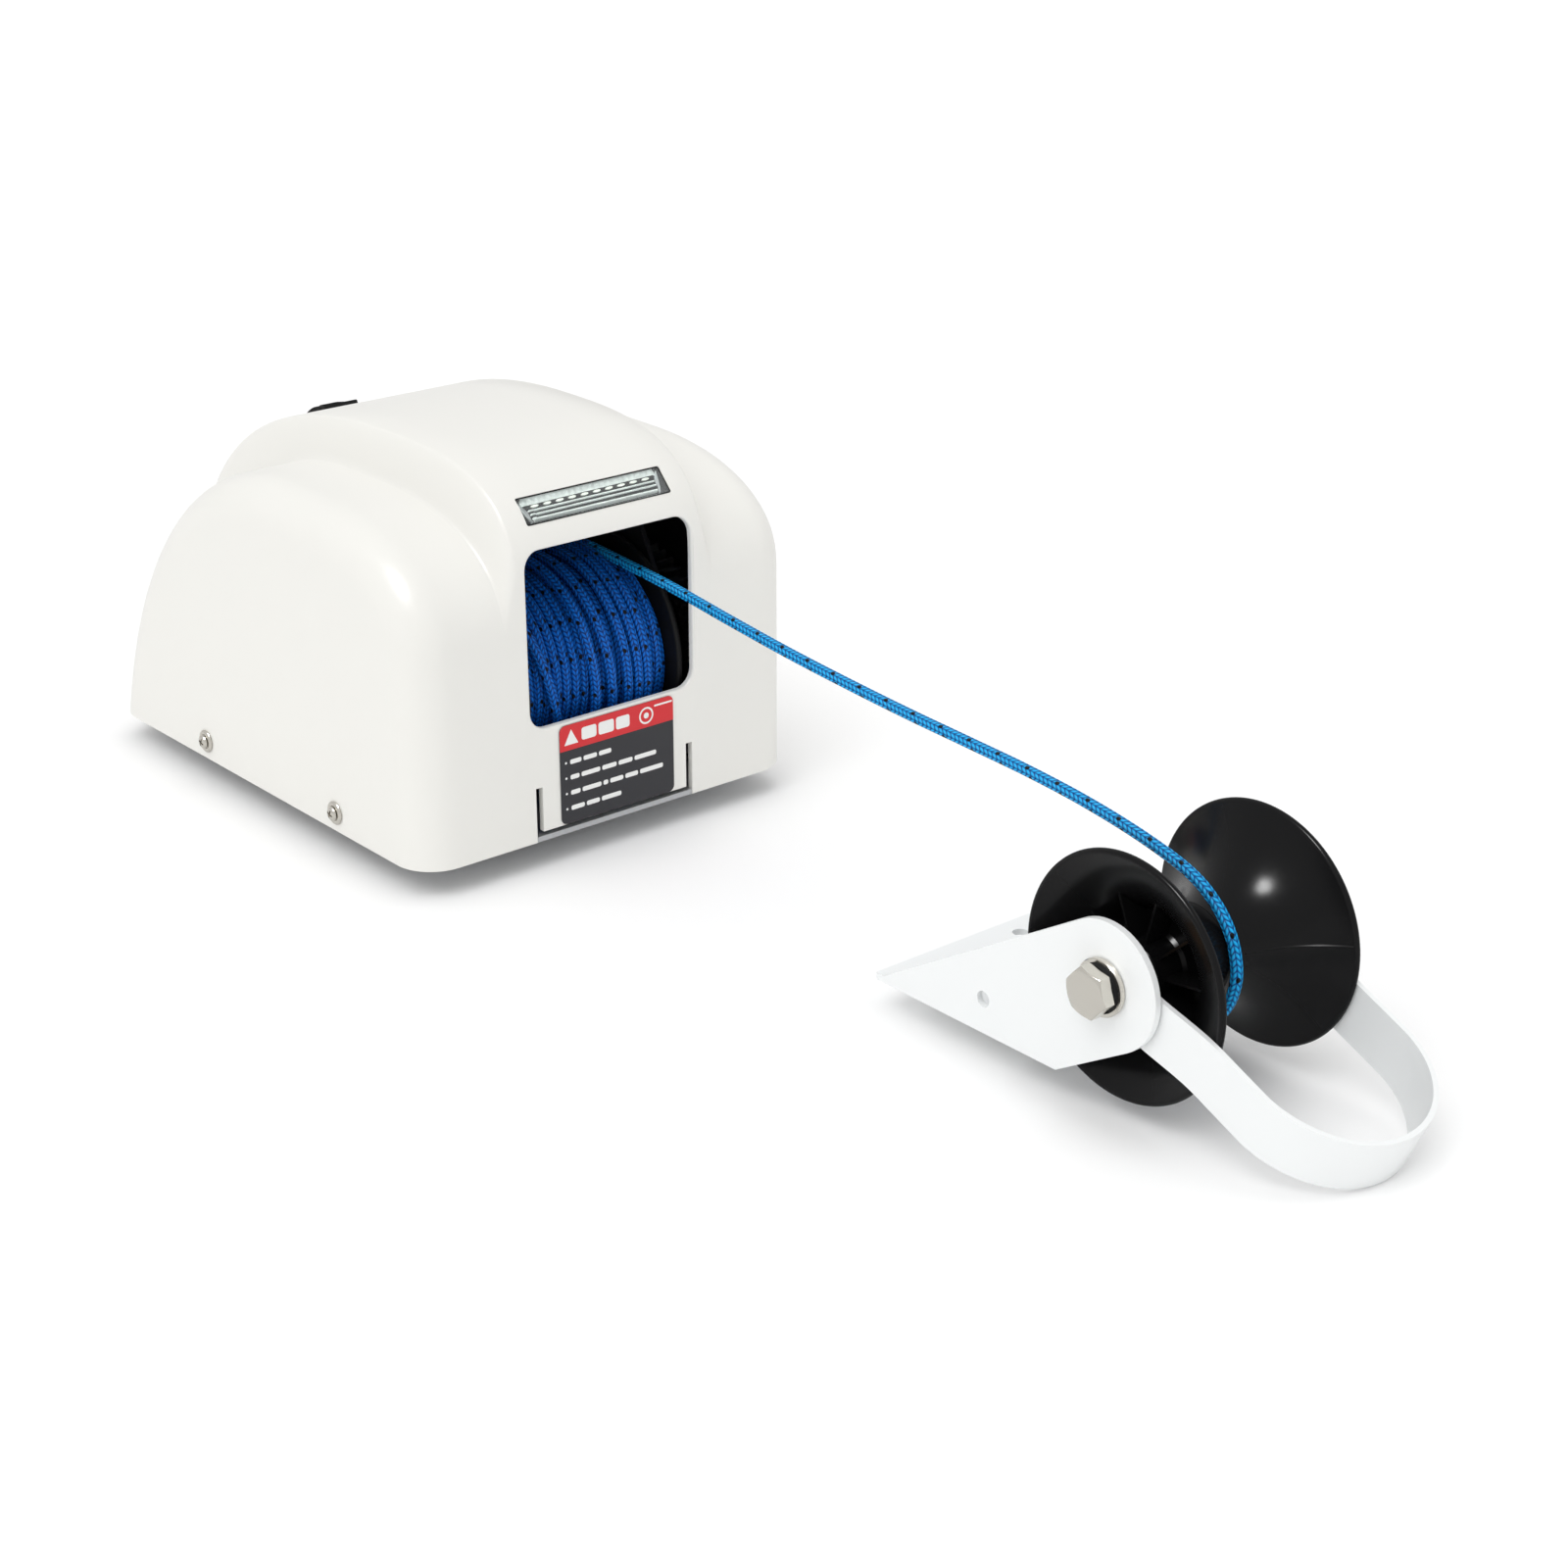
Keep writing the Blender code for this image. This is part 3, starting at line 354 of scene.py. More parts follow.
def green_board():
    """Glass-fibre circuit board under solder mask: green and satin."""
    return grained("circuit_board", linear("#1E6B3A"), 0.35, 0.6, 0.01, 0.15)


def chrome_film():
    """Vacuum-metallised plastic: a mirror with a faint haze."""
    return grained("chrome_film", linear("#DADDDC"), 0.12, 0.8, 0.004, 0.05, Metallic=1.0)


def silvered_plastic_painted_glint():
    """Moulded ABS, silvered in a vacuum: a little mirror, and a near-white haze that is a painted highlight
    for the silvering's glints.
    """
    return grained("silvered_plastic_painted_glint", linear("#F0F3F2"), 0.3, 0.8, 0.01, 0.03, Metallic=0.1)


def led_phosphor():
    """White LEDs at rest: pale phosphor under clear silicone."""
    return grained("led_phosphor", linear("#F7F8F0"), 0.25, 0.5, 0.01, 0.03)


def clear_lens():
    """Injection-moulded clear polycarbonate: water clear with a cool tint at its edges."""
    mat = grained("clear_polycarbonate", linear("#F2F7F5"), 0.05, 2.0, 0.003, 0.02, IOR=1.58,
                  **{"Transmission Weight": 1.0})
    # light reaches the reflector straight through the lens
    return seen_otherwise(mat, "Is Shadow Ray", "ShaderNodeBsdfTransparent", {"Color": linear("#FFFFFF")})


def label_film(name, colour):
    """Printed vinyl under a clear laminate: flat ink with an even satin gloss."""
    return grained(name, colour, 0.35, 1.5, 0.004, 0.03)


def wound_polyester_painted_shade(settings):
    """The same braid in darker colours for the rope on the drum: painted shade for the turns inside the
    cover.
    """
    return braid(settings, "wound_polyester_painted_shade", settings.wound_shade, settings.wound)


def braided_polyester(settings):
    """Double-braid polyester, new and dry: rows of slanted picks, with a dark tracer yarn."""
    return braid(settings, "braided_polyester", settings.shade, settings.blue)


def braid(settings, name, shade, lit):
    """Rows of slanted picks, each a rounded yarn, crossed by a dark tracer yarn.

    The mesh carries its turn round the rope (0 to 1) and its length in millimetres as UV.
    The picks are a little longer than a real rope's, so that they show at arm's length.
    """
    mat, tree = blank(name)
    uv = add_node(tree, "ShaderNodeUVMap", uv_map="rope")
    parts = add_node(tree, "ShaderNodeSeparateXYZ", {"Vector": uv})
    pitch_mm, girth_mm = settings.fleck_pitch / MM, pi * settings.diameter / MM
    made = {"turn": parts.outputs["X"], "along": parts.outputs["Y"]}
    steps = (
        # the picks: rows of rounded yarns, slanted one way and the other by turns
        ("rows", "MULTIPLY", "turn", settings.strands),
        ("in_row", "FRACT", "rows", 0.0),
        ("side", "SUBTRACT", "in_row", 0.5),
        ("row", "FLOOR", "rows", 0.0),
        ("half_row", "MULTIPLY", "row", 0.5),
        ("odd", "FRACT", "half_row", 0.0),
        ("odd_by_four", "MULTIPLY", "odd", 4.0),
        ("way", "SUBTRACT", "odd_by_four", 1.0),
        ("lean", "MULTIPLY", "side", "way"),
        ("slant", "MULTIPLY", "lean", 0.75),
        ("straight", "MULTIPLY", "along", MM / settings.pick),
        ("picks", "ADD", "straight", "slant"),
        ("in_pick", "FRACT", "picks", 0.0),
        ("place", "SUBTRACT", "in_pick", 0.5),
        ("side_squared", "MULTIPLY", "side", "side"),
        ("side_fall", "MULTIPLY", "side_squared", 3.2),
        ("across", "SUBTRACT", 1.0, "side_fall"),
        ("place_squared", "MULTIPLY", "place", "place"),
        ("place_fall", "MULTIPLY", "place_squared", 3.6),
        ("lengthways", "SUBTRACT", 1.0, "place_fall"),
        ("height", "MULTIPLY", "across", "lengthways"),
        # the flecks: two dark yarns cross at each pitch, so their flecks come in offset pairs
        ("started", "ADD", "turn", settings.fleck_turn),
        ("quarters", "MULTIPLY", "started", 4.0),
        ("quarter", "FLOOR", "quarters", 0.0),
        ("half_quarter", "MULTIPLY", "quarter", 0.5),
        ("other", "FRACT", "half_quarter", 0.0),
        ("offset", "MULTIPLY", "other", 0.36),
        ("beats", "MULTIPLY", "along", 1.0 / pitch_mm),
        ("beat", "ADD", "beats", "offset"),
        ("in_quarter", "FRACT", "quarters", 0.0),
        ("from_quarter", "SUBTRACT", "in_quarter", 0.5),
        ("over", "MULTIPLY", "from_quarter", girth_mm / 4.0 / FLECK_MM[0]),
        ("in_beat", "FRACT", "beat", 0.0),
        ("from_beat", "SUBTRACT", "in_beat", 0.5),
        ("ahead", "MULTIPLY", "from_beat", pitch_mm / FLECK_MM[1]),
        ("over_squared", "MULTIPLY", "over", "over"),
        ("ahead_squared", "MULTIPLY", "ahead", "ahead"),
        ("reach", "ADD", "over_squared", "ahead_squared"),
    )
    for step, operation, first, second in steps:
        values = {0: made.get(first, first), 1: made.get(second, second)}
        made[step] = add_node(tree, "ShaderNodeMath", values, operation=operation)
    fleck = add_node(tree, "ShaderNodeMapRange", {"Value": made["reach"], "From Min": 1.25, "From Max": 0.75})
    # painted shade between the picks and a painted highlight on their crowns: each pick's height runs the
    # colour from shade to lit
    yarn = add_node(tree, "ShaderNodeValToRGB", {"Fac": made["height"]})
    for stop, position, colour in zip(yarn.color_ramp.elements, (0.1, 0.85), (shade, lit)):
        stop.position = position
        stop.color = tuple(colour)
    tint = add_node(tree, "ShaderNodeMix", {MIX: fleck, MIX_A: yarn, MIX_B: tuple(settings.fleck)},
                    data_type="RGBA")
    bump = add_node(tree, "ShaderNodeBump", {"Height": made["height"], "Distance": 0.5 * MM, "Strength": 1.0})
    shader = add_node(tree, "ShaderNodeBsdfPrincipled", {"Base Color": tint.outputs[MIX_OUT],
                                                         "Roughness": 0.45, "Normal": bump, SPECULAR: 0.2})
    add_node(tree, "ShaderNodeOutputMaterial", {"Surface": shader})
    return mat


def studio_floor(colour):
    """Seamless paper: white and matt, with the paper's faint tooth."""
    mat = grained("studio_floor", colour, 0.9, 4.0, 0.01, 0.004)
    # gloss on the object sees a dimmer paper, as it would beside a small light tent
    return seen_otherwise(mat, "Is Glossy Ray", "ShaderNodeBsdfDiffuse", {"Color": linear("#E2E2E2")})


MADE = {}


def shared(maker, *details):
    """A material by its maker, made once."""
    if maker not in MADE:
        MADE[maker] = maker(*details)
    return MADE[maker]


# ---- mesh tools ------------------------------------------------------------------------------
def piece(mesh, name, mat, smooth=35.0, place=None):
    """Make an object of a mesh in millimetres, given or left where the frame has it."""
    if place:
        mesh.transform(place)
    mesh.transform(Matrix.Scale(MM, 4))
    bmesh.ops.recalc_face_normals(mesh, faces=mesh.faces)
    data = bpy.data.meshes.new(name)
    mesh.to_mesh(data)
    mesh.free()
    data.shade_smooth()
    data.set_sharp_from_angle(angle=radians(smooth))
    data.materials.append(mat)
    made = bpy.data.objects.new(name, data)
    bpy.context.collection.objects.link(made)
    return made


def settle(made, smooth=35.0):
    """Turn an object's modifiers into plain mesh, and drop the tools that they used."""
    tools = [m.object for m in made.modifiers if m.type == "BOOLEAN"]
    graph = bpy.context.evaluated_depsgraph_get()
    made.data = bpy.data.meshes.new_from_object(made.evaluated_get(graph))
    made.modifiers.clear()
    for tool in tools:
        bpy.data.objects.remove(tool)
    made.data.shade_smooth()
    made.data.set_sharp_from_angle(angle=radians(smooth))


def combine(made, tool_mesh, operation="DIFFERENCE"):
    tool = piece(tool_mesh, made.name + "_tool", made.data.materials[0])
    step = made.modifiers.new("combine", "BOOLEAN")
    step.operation = operation
    step.solver = "EXACT"
    step.object = tool


def bevel(made, width, segments=3, angle=35.0):
    step = made.modifiers.new("edges", "BEVEL")
    step.width = width
    step.segments = segments
    step.limit_method = "ANGLE"
    step.angle_limit = radians(angle)
    step.use_clamp_overlap = True


def to_axis(axis, along, first, second):
    return {"X": (along, first, second), "Y": (first, along, second), "Z": (first, second, along)}[axis]


def slab(outline, low, high, axis="Z", holes=(), mesh=None):
    """A flat plate: an outline with holes, from low to high along an axis."""
    mesh = mesh or bmesh.new()
    loops = [list(outline)] + [list(hole) for hole in holes]
    flat = [point for loop in loops for point in loop]
    bottom = [mesh.verts.new(to_axis(axis, low, *point)) for point in flat]
    top = [mesh.verts.new(to_axis(axis, high, *point)) for point in flat]
    for a, b, c in tessellate_polygon([[Vector((u, v, 0.0)) for u, v in loop] for loop in loops]):
        mesh.faces.new((bottom[a], bottom[b], bottom[c]))
        mesh.faces.new((top[c], top[b], top[a]))
    start = 0
    for loop in loops:
        count = len(loop)
        for i in range(count):
            j = start + (i + 1) % count
            mesh.faces.new((bottom[start + i], bottom[j], top[j], top[start + i]))
        start += count
    return mesh


def loft(rings, mesh=None):
    """A closed body through rings of points, with flat ends."""
    mesh = mesh or bmesh.new()
    made = [[mesh.verts.new(point) for point in ring] for ring in rings]
    for before, after in zip(made, made[1:]):
        for i in range(len(before)):
            j = (i + 1) % len(before)
            mesh.faces.new((before[i], before[j], after[j], after[i]))
    mesh.faces.new(made[0])
    mesh.faces.new(made[-1])
    return mesh


def turned(profile, centre=(0.0, 0.0, 0.0), segments=96, axis="X", mesh=None):
    """A ring turned about an axis from a closed profile of (along, radius); radius 0 closes on the axis."""
    mesh = mesh or bmesh.new()
    rings = []
    for along, radius in profile:
        if radius < 1e-6:
            rings.append([mesh.verts.new(Vector(centre) + Vector(to_axis(axis, along, 0.0, 0.0)))])
            continue
        ring = []
        for i in range(segments):
            angle = 2 * pi * i / segments
            spot = to_axis(axis, along, radius * cos(angle), radius * sin(angle))
            ring.append(mesh.verts.new(Vector(centre) + Vector(spot)))
        rings.append(ring)
    for first, second in zip(rings, rings[1:] + rings[:1]):
        if len(first) == 1 and len(second) == 1:
            continue
        for i in range(segments):
            j = (i + 1) % segments
            corners = [first[i % len(first)], first[j % len(first)],
                       second[j % len(second)], second[i % len(second)]]
            mesh.faces.new(list(dict.fromkeys(corners)))
    return mesh


def circle(u, v, radius, count=32, start=0.0):
    return [(u + radius * cos(start + 2 * pi * i / count), v + radius * sin(start + 2 * pi * i / count))
            for i in range(count)]


def rounded_rect(half_u, half_v, radius, steps=6, centre=(0.0, 0.0)):
    points = []
    for quarter, (su, sv) in enumerate(((1, 1), (-1, 1), (-1, -1), (1, -1))):
        for i in range(steps + 1):
            angle = pi / 2 * (quarter + i / steps)
            points.append((centre[0] + su * (half_u - radius) + radius * cos(angle),
                           centre[1] + sv * (half_v - radius) + radius * sin(angle)))
    return points


def rounding(radius, steps=5):
    """A quarter round as (growth, depth) pairs, from the surface down to the bore."""
    return [(radius * (1.0 - sin(pi / 2 * i / steps)), radius * (1.0 - cos(pi / 2 * i / steps)))
            for i in range(steps + 1)]


def smooth_curve(knots, count):
    """Evenly spaced points on a smooth curve through some points."""
    padded = [2 * knots[0] - knots[1]] + knots + [2 * knots[-1] - knots[-2]]
    dense = []
    for a, b, c, d in zip(padded, padded[1:], padded[2:], padded[3:]):
        for i in range(24):
            t = i / 24
            dense.append(0.5 * (2 * b + (c - a) * t + (2 * a - 5 * b + 4 * c - d) * t * t
                                + (3 * b - a - 3 * c + d) * t ** 3))
    dense.append(knots[-1])
    return spaced(dense, count)


def spaced(dense, count):
    lengths = [0.0]
    for before, after in zip(dense, dense[1:]):
        lengths.append(lengths[-1] + (after - before).length)
    result, k = [], 0
    for i in range(count):
        target = lengths[-1] * i / (count - 1)
        while k < len(lengths) - 2 and lengths[k + 1] < target:
            k += 1
        share = (target - lengths[k]) / (lengths[k + 1] - lengths[k])
        result.append(dense[k].lerp(dense[k + 1], share))
    return result


def rope_tube(points, radius, sides=16, closed=False):
    """A round tube along points, in millimetres, with the rope's UV: turn, and length in millimetres."""
    mesh = bmesh.new()
    uv = mesh.loops.layers.uv.new("rope")
    count = len(points)
    heading = (points[1] - points[0]).normalized()
    up = heading.orthogonal().normalized()
    rings, travel, lengths = [], 0.0, []
    for i, point in enumerate(points):
        before = points[i - 1] if i or closed else point
        after = points[(i + 1) % count] if i < count - 1 or closed else point
        ahead = (after - before).normalized()
        up = (heading.rotation_difference(ahead) @ up).normalized()
        heading = ahead
        across = heading.cross(up)
        if i:
            travel += (point - points[i - 1]).length
        lengths.append(travel)
        spokes = [cos(2 * pi * k / sides) * up + sin(2 * pi * k / sides) * across for k in range(sides)]
        rings.append([mesh.verts.new(point + radius * spoke) for spoke in spokes])
    if closed:
        rings.append(rings[0])
        lengths.append(travel + (points[0] - points[-1]).length)
    for i in range(len(rings) - 1):
        for k in range(sides):
            j = (k + 1) % sides
            face = mesh.faces.new((rings[i][k], rings[i][j], rings[i + 1][j], rings[i + 1][k]))
            for loop, turn, along in zip(face.loops, (k, k + 1, k + 1, k), (i, i, i + 1, i + 1)):
                loop[uv].uv = (turn / sides, lengths[along])
    if not closed:
        for ring in (rings[0], rings[-1]):
            mesh.faces.new(ring)
    return mesh


# ---- the cover's arched shape ------------------------------------------------------------------
def arch_outline(arch, front_steps, rear_steps, foot):
    """One bow-to-stern outline of the cover, as (y, z) points from foot to foot."""
    points = [(-HALF_DEPTH, foot), (-HALF_DEPTH, arch.front_spring)]
    for i in range(1, front_steps + 1):
        angle = pi / 2 * i / front_steps
        forward = (arch.front_crown + HALF_DEPTH) * max(cos(angle), 0.0) ** (2 / arch.front_power)
        rise = (arch.height - arch.front_spring) * sin(angle) ** (2 / arch.front_power)
        points.append((arch.front_crown - forward, arch.front_spring + rise))
    rise = arch.height - arch.rear_spring
    upright = arch.rear_spring > 0.0
    end = pi / 2 if upright else acos(((foot - arch.rear_spring) / rise) ** (arch.rear_power / 2))
    base = pi / 2 if upright else acos((-arch.rear_spring / rise) ** (arch.rear_power / 2))
    reach = (HALF_DEPTH - arch.rear_crown) / sin(base) ** (2 / arch.rear_power)
    steps = rear_steps if upright else rear_steps + 1
    for i in range(steps + 1):
        angle = end * i / steps
        y = arch.rear_crown + reach * sin(angle) ** (2 / arch.rear_power)
        points.append((y, arch.rear_spring + rise * max(cos(angle), 0.0) ** (2 / arch.rear_power)))
    if upright:
        points.append((HALF_DEPTH, foot))
    return points


def outward(points):
    """Unit normals of an outline that runs foot to foot over the top."""
    result = []
    for i in range(len(points)):
        before, after = points[max(i - 1, 0)], points[min(i + 1, len(points) - 1)]
        dy, dz = after[0] - before[0], after[1] - before[1]
        result.append((-dz / hypot(dy, dz), dy / hypot(dy, dz)))
    return result


def smooth_step(low, high, value):
    t = min(1.0, max(0.0, (value - low) / (high - low)))
    return t * t * (3.0 - 2.0 * t)


def cover_surface(edge_radius, foot, front_steps=26, rear_steps=34, edge_steps=12, hump_steps=12):
    shoulder = arch_outline(SHOULDER, front_steps, rear_steps, foot)
    hump = arch_outline(HUMP, front_steps, rear_steps, foot)
    normals = outward(shoulder)
    stations = [HUMP_IN * i / 3 for i in range(3)]
    stations += [HUMP_IN + (HUMP_OUT - HUMP_IN) * i / hump_steps for i in range(hump_steps + 1)]
    turns = [pi / 2 * i / edge_steps for i in range(edge_steps + 1)]
    stations += [HALF_WIDTH - edge_radius * (1.0 - sin(turn)) for turn in turns]
    stations = [-x for x in reversed(stations[1:])] + stations
    mesh = bmesh.new()
    rows = []
    for x in stations:
        share = 1.0 - smooth_step(HUMP_IN, HUMP_OUT, abs(x))
        over = max(0.0, abs(x) - (HALF_WIDTH - edge_radius))
        inset = edge_radius - sqrt(max(0.0, edge_radius ** 2 - over ** 2))
        rows.append([mesh.verts.new((x, low[0] + share * (high[0] - low[0]) - inset * normal[0],
                                     low[1] + share * (high[1] - low[1]) - inset * normal[1]))
                     for low, high, normal in zip(shoulder, hump, normals)])
    for row, after in zip(rows, rows[1:]):
        for i in range(len(row) - 1):
            mesh.faces.new((row[i], row[i + 1], after[i + 1], after[i]))
    mesh.faces.new(rows[0])
    mesh.faces.new(rows[-1])
    return mesh


def front_depth(z):
    """Where the hump's front surface is at a height."""
    if z <= HUMP.front_spring:
        return -HALF_DEPTH
    t = (z - HUMP.front_spring) / (HUMP.height - HUMP.front_spring)
    back = (1.0 - t ** HUMP.front_power) ** (1 / HUMP.front_power)
    return HUMP.front_crown - (HUMP.front_crown + HALF_DEPTH) * back


def hump_place(x, y):
    """The place and tilt of something that stands on the hump behind its crown."""
    reach, rise = HALF_DEPTH - HUMP.rear_crown, HUMP.height - HUMP.rear_spring
    t = (y - HUMP.rear_crown) / reach
    fall = 1.0 - t ** HUMP.rear_power
    z = HUMP.rear_spring + rise * fall ** (1 / HUMP.rear_power)
    slope = rise / reach * t ** (HUMP.rear_power - 1) * fall ** (1 / HUMP.rear_power - 1)
    return Matrix.Translation((x, y, z)) @ Matrix.Rotation(-atan2(slope, 1.0), 4, "X")


def front_cutter(settings):
    """The rope window with a rounded outer lip, the slots beside the tongue, and the screw holes."""
    half_height = (settings.window_high - settings.window_low) / 2 / MM
    centre = (0.0, (settings.window_high + settings.window_low) / 2 / MM)
    half, corner = settings.window_half / MM, settings.window_radius / MM
    lip = settings.window_lip / MM
    levels = [(lip, -6.0)] + rounding(lip) + [(0.0, 12.0)]
    rings = []
    for growth, depth in levels:
        outline = rounded_rect(half + growth, half_height + growth, corner + growth, 8, centre)
        rings.append([(x, front_depth(z) + depth, z) for x, z in outline])
    mesh = loft(rings)
    slot_in, slot_out = settings.slot_in / MM, settings.slot_out / MM
    slot_top, tongue = settings.slot_top / MM, settings.tongue_low / MM
    right = [(slot_out, -1.0), (slot_out, slot_top), (slot_in, slot_top), (slot_in, tongue)]
    notch = [(-slot_out, -1.0)] + right + [(-x, z) for x, z in reversed(right[1:])]
    slab(notch, -HALF_DEPTH - 5.0, -HALF_DEPTH + 12.0, axis="Y", mesh=mesh)
    for number in range(1, 5):
        spot = middle(f"screw_washer_{number}")
        outline = circle(spot.y, spot.z, 2.6, 24)
        side = 1 if spot.x > 0 else -1
        slab(outline, *sorted((side * 100.0, side * 120.0)), axis="X", mesh=mesh)
    return mesh


def seat_cutter(outline, place):
    mesh = slab(outline, -12.0, 12.0)
    mesh.transform(place)
    return mesh


SWITCH_PLACE = hump_place(middle("switch_bezel").x, 84.0)
GLAND_PLACE = (Matrix.Translation((middle("cable_gland").x, 138.3, 17.0))
               @ Matrix.Rotation(radians(-72.5), 4, "X"))


def make_cover(settings):
    mat = shared(ivory_abs, settings)
    cover = piece(cover_surface(settings.edge_radius / MM, -2.0 * settings.wall / MM), "cover_shell", mat)
    shell = cover.modifiers.new("wall", "SOLIDIFY")
    shell.thickness = settings.wall
    shell.offset = -1.0
    shell.use_even_offset = True
    combine(cover, front_cutter(settings))
    half_lens = span("light_lens")[1].x
    combine(cover, seat_cutter(rounded_rect(half_lens + 0.4, 7.2, 1.0), LIGHT_PLACE))
    combine(cover, seat_cutter(rounded_rect(10.0, 15.5, 1.0), SWITCH_PLACE))
    combine(cover, seat_cutter(circle(0.0, 0.0, 8.3), GLAND_PLACE))
    below_deck = rounded_rect(1.3 * HALF_WIDTH, 1.3 * HALF_DEPTH, 1.0, 1)
    combine(cover, slab(below_deck, -30.0, 0.0))
    settle(cover)
    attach(cover, "frame")
    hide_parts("cover")


# ---- small pieces on the cover -----------------------------------------------------------------
def recess_arm(spot, face, side, turn):
    """One arm of a screw's cross recess, cut in from outside."""
    arm = [(-2.0, -0.45), (2.0, -0.45), (2.0, 0.45), (-2.0, 0.45)]
    arm = [(spot.y + u * cos(turn) - v * sin(turn), spot.z + u * sin(turn) + v * cos(turn)) for u, v in arm]
    return slab(arm, *sorted((face + side * 2.2, face + side * 5.0)), axis="X")


def make_screws():
    """Four cross-recessed pan heads on cup washers, along the cover's foot."""
    steel = shared(stainless)
    cup = [(0.3, 5.6), (0.7, 5.75), (1.1, 5.5), (1.5, 4.7), (1.6, 4.0), (1.3, 3.4), (0.9, 2.7), (0.3, 2.7)]
    head = [(-9.0, 0.0), (-9.0, 2.1), (1.6, 2.1), (1.75, 3.4), (2.1, 3.55), (2.7, 3.3), (3.2, 2.6),
            (3.5, 1.4), (3.6, 0.0)]
    for number in range(1, 5):
        spot = middle(f"screw_washer_{number}")
        side = 1 if spot.x > 0 else -1
        face = side * HALF_WIDTH
        centre = (face, spot.y, spot.z)
        washer = piece(turned([(side * a, r) for a, r in cup], centre, 40), f"cup_washer_{number}", steel)
        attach(washer, "frame")
        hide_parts(f"screw_washer_{number}")
        screw = piece(turned([(side * a, r) for a, r in head], centre, 40), f"pan_head_{number}", steel)
        for turn in (radians(20.0), radians(110.0)):
            combine(screw, recess_arm(spot, face, side, turn))
        settle(screw)
        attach(screw, "frame")
        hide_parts(f"cover_screw_{number}")


LINE_PITCH, DASH_SCALE = 7.7, 0.86      # the label's lines of dashes: apart, and how long


def make_label(settings):
    """A two-tone film with plain marks on it: a triangle, a ring and rows of dashes."""
    low, high = span("front_label")
    half, tall = (high.x - low.x) / 2, (high.z - low.z) / 2
    centre = ((high.x + low.x) / 2, (high.z + low.z) / 2)
    front, band = low.y, low.z + 2 * tall - 12.6
    film = piece(slab(rounded_rect(half, tall, 3.2, 8, centre), high.y, front + 0.06, axis="Y"), "label_film",
                 label_film("label_dark", settings.label_dark))
    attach(film, "frame")
    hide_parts("front_label")
    outline = [(u, v) for u, v in rounded_rect(half, tall, 3.2, 8, centre) if v > band]
    outline = [(centre[0] + half, band)] + outline + [(centre[0] - half, band)]
    header = piece(slab(outline, front + 0.05, front + 0.02, axis="Y"), "label_band",
                   label_film("label_red", settings.label_red))
    marks = bmesh.new()
    ink = (front + 0.01, front)
    row = (band + high.z) / 2
    triangle = [(low.x + 2.6, row - 3.6), (low.x + 10.6, row - 3.6), (low.x + 6.6, row + 3.8)]
    slab(triangle, *ink, axis="Y", mesh=marks)
    for start, wide in ((12.6, 8.6), (22.4, 9.0), (32.6, 8.0)):
        block = rounded_rect(wide / 2, 3.1, 1.2, 3, (low.x + start + wide / 2, row))
        slab(block, *ink, axis="Y", mesh=marks)
    ring = (low.x + 50.5, row - 0.3)
    slab(circle(*ring, 4.2, 32), *ink, axis="Y", holes=[circle(*ring, 3.3, 32)], mesh=marks)
    slab(circle(*ring, 1.5, 20), *ink, axis="Y", mesh=marks)
    slab(rounded_rect(5.4, 0.45, 0.4, 2, (low.x + 60.6, row + 3.4)), *ink, axis="Y", mesh=marks)
    rows = [(7.6, 9.0, 8.4), (6.0, 12.6, 9.8, 9.6, 15.0), (6.4, 12.8, 3.2, 9.0, 8.8, 16.0), (9.0, 8.8, 13.4)]
    for line, dashes in enumerate(rows):
        z, x = band - 6.0 - LINE_PITCH * line, low.x + 5.6
        slab(circle(low.x + 3.2, z, 0.6, 12), *ink, axis="Y", mesh=marks)
        for wide in dashes:
            wide *= DASH_SCALE
            slab(rounded_rect(wide / 2, 1.15, 0.8, 3, (x + wide / 2, z)), *ink, axis="Y", mesh=marks)
            x += wide + 1.2
    printed = piece(marks, "label_marks", label_film("label_white", linear("#F4F4F2")))
    for made in (header, printed):
        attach(made, "frame")


PLEATS, LAMPS = 22, 10                  # across the bar light


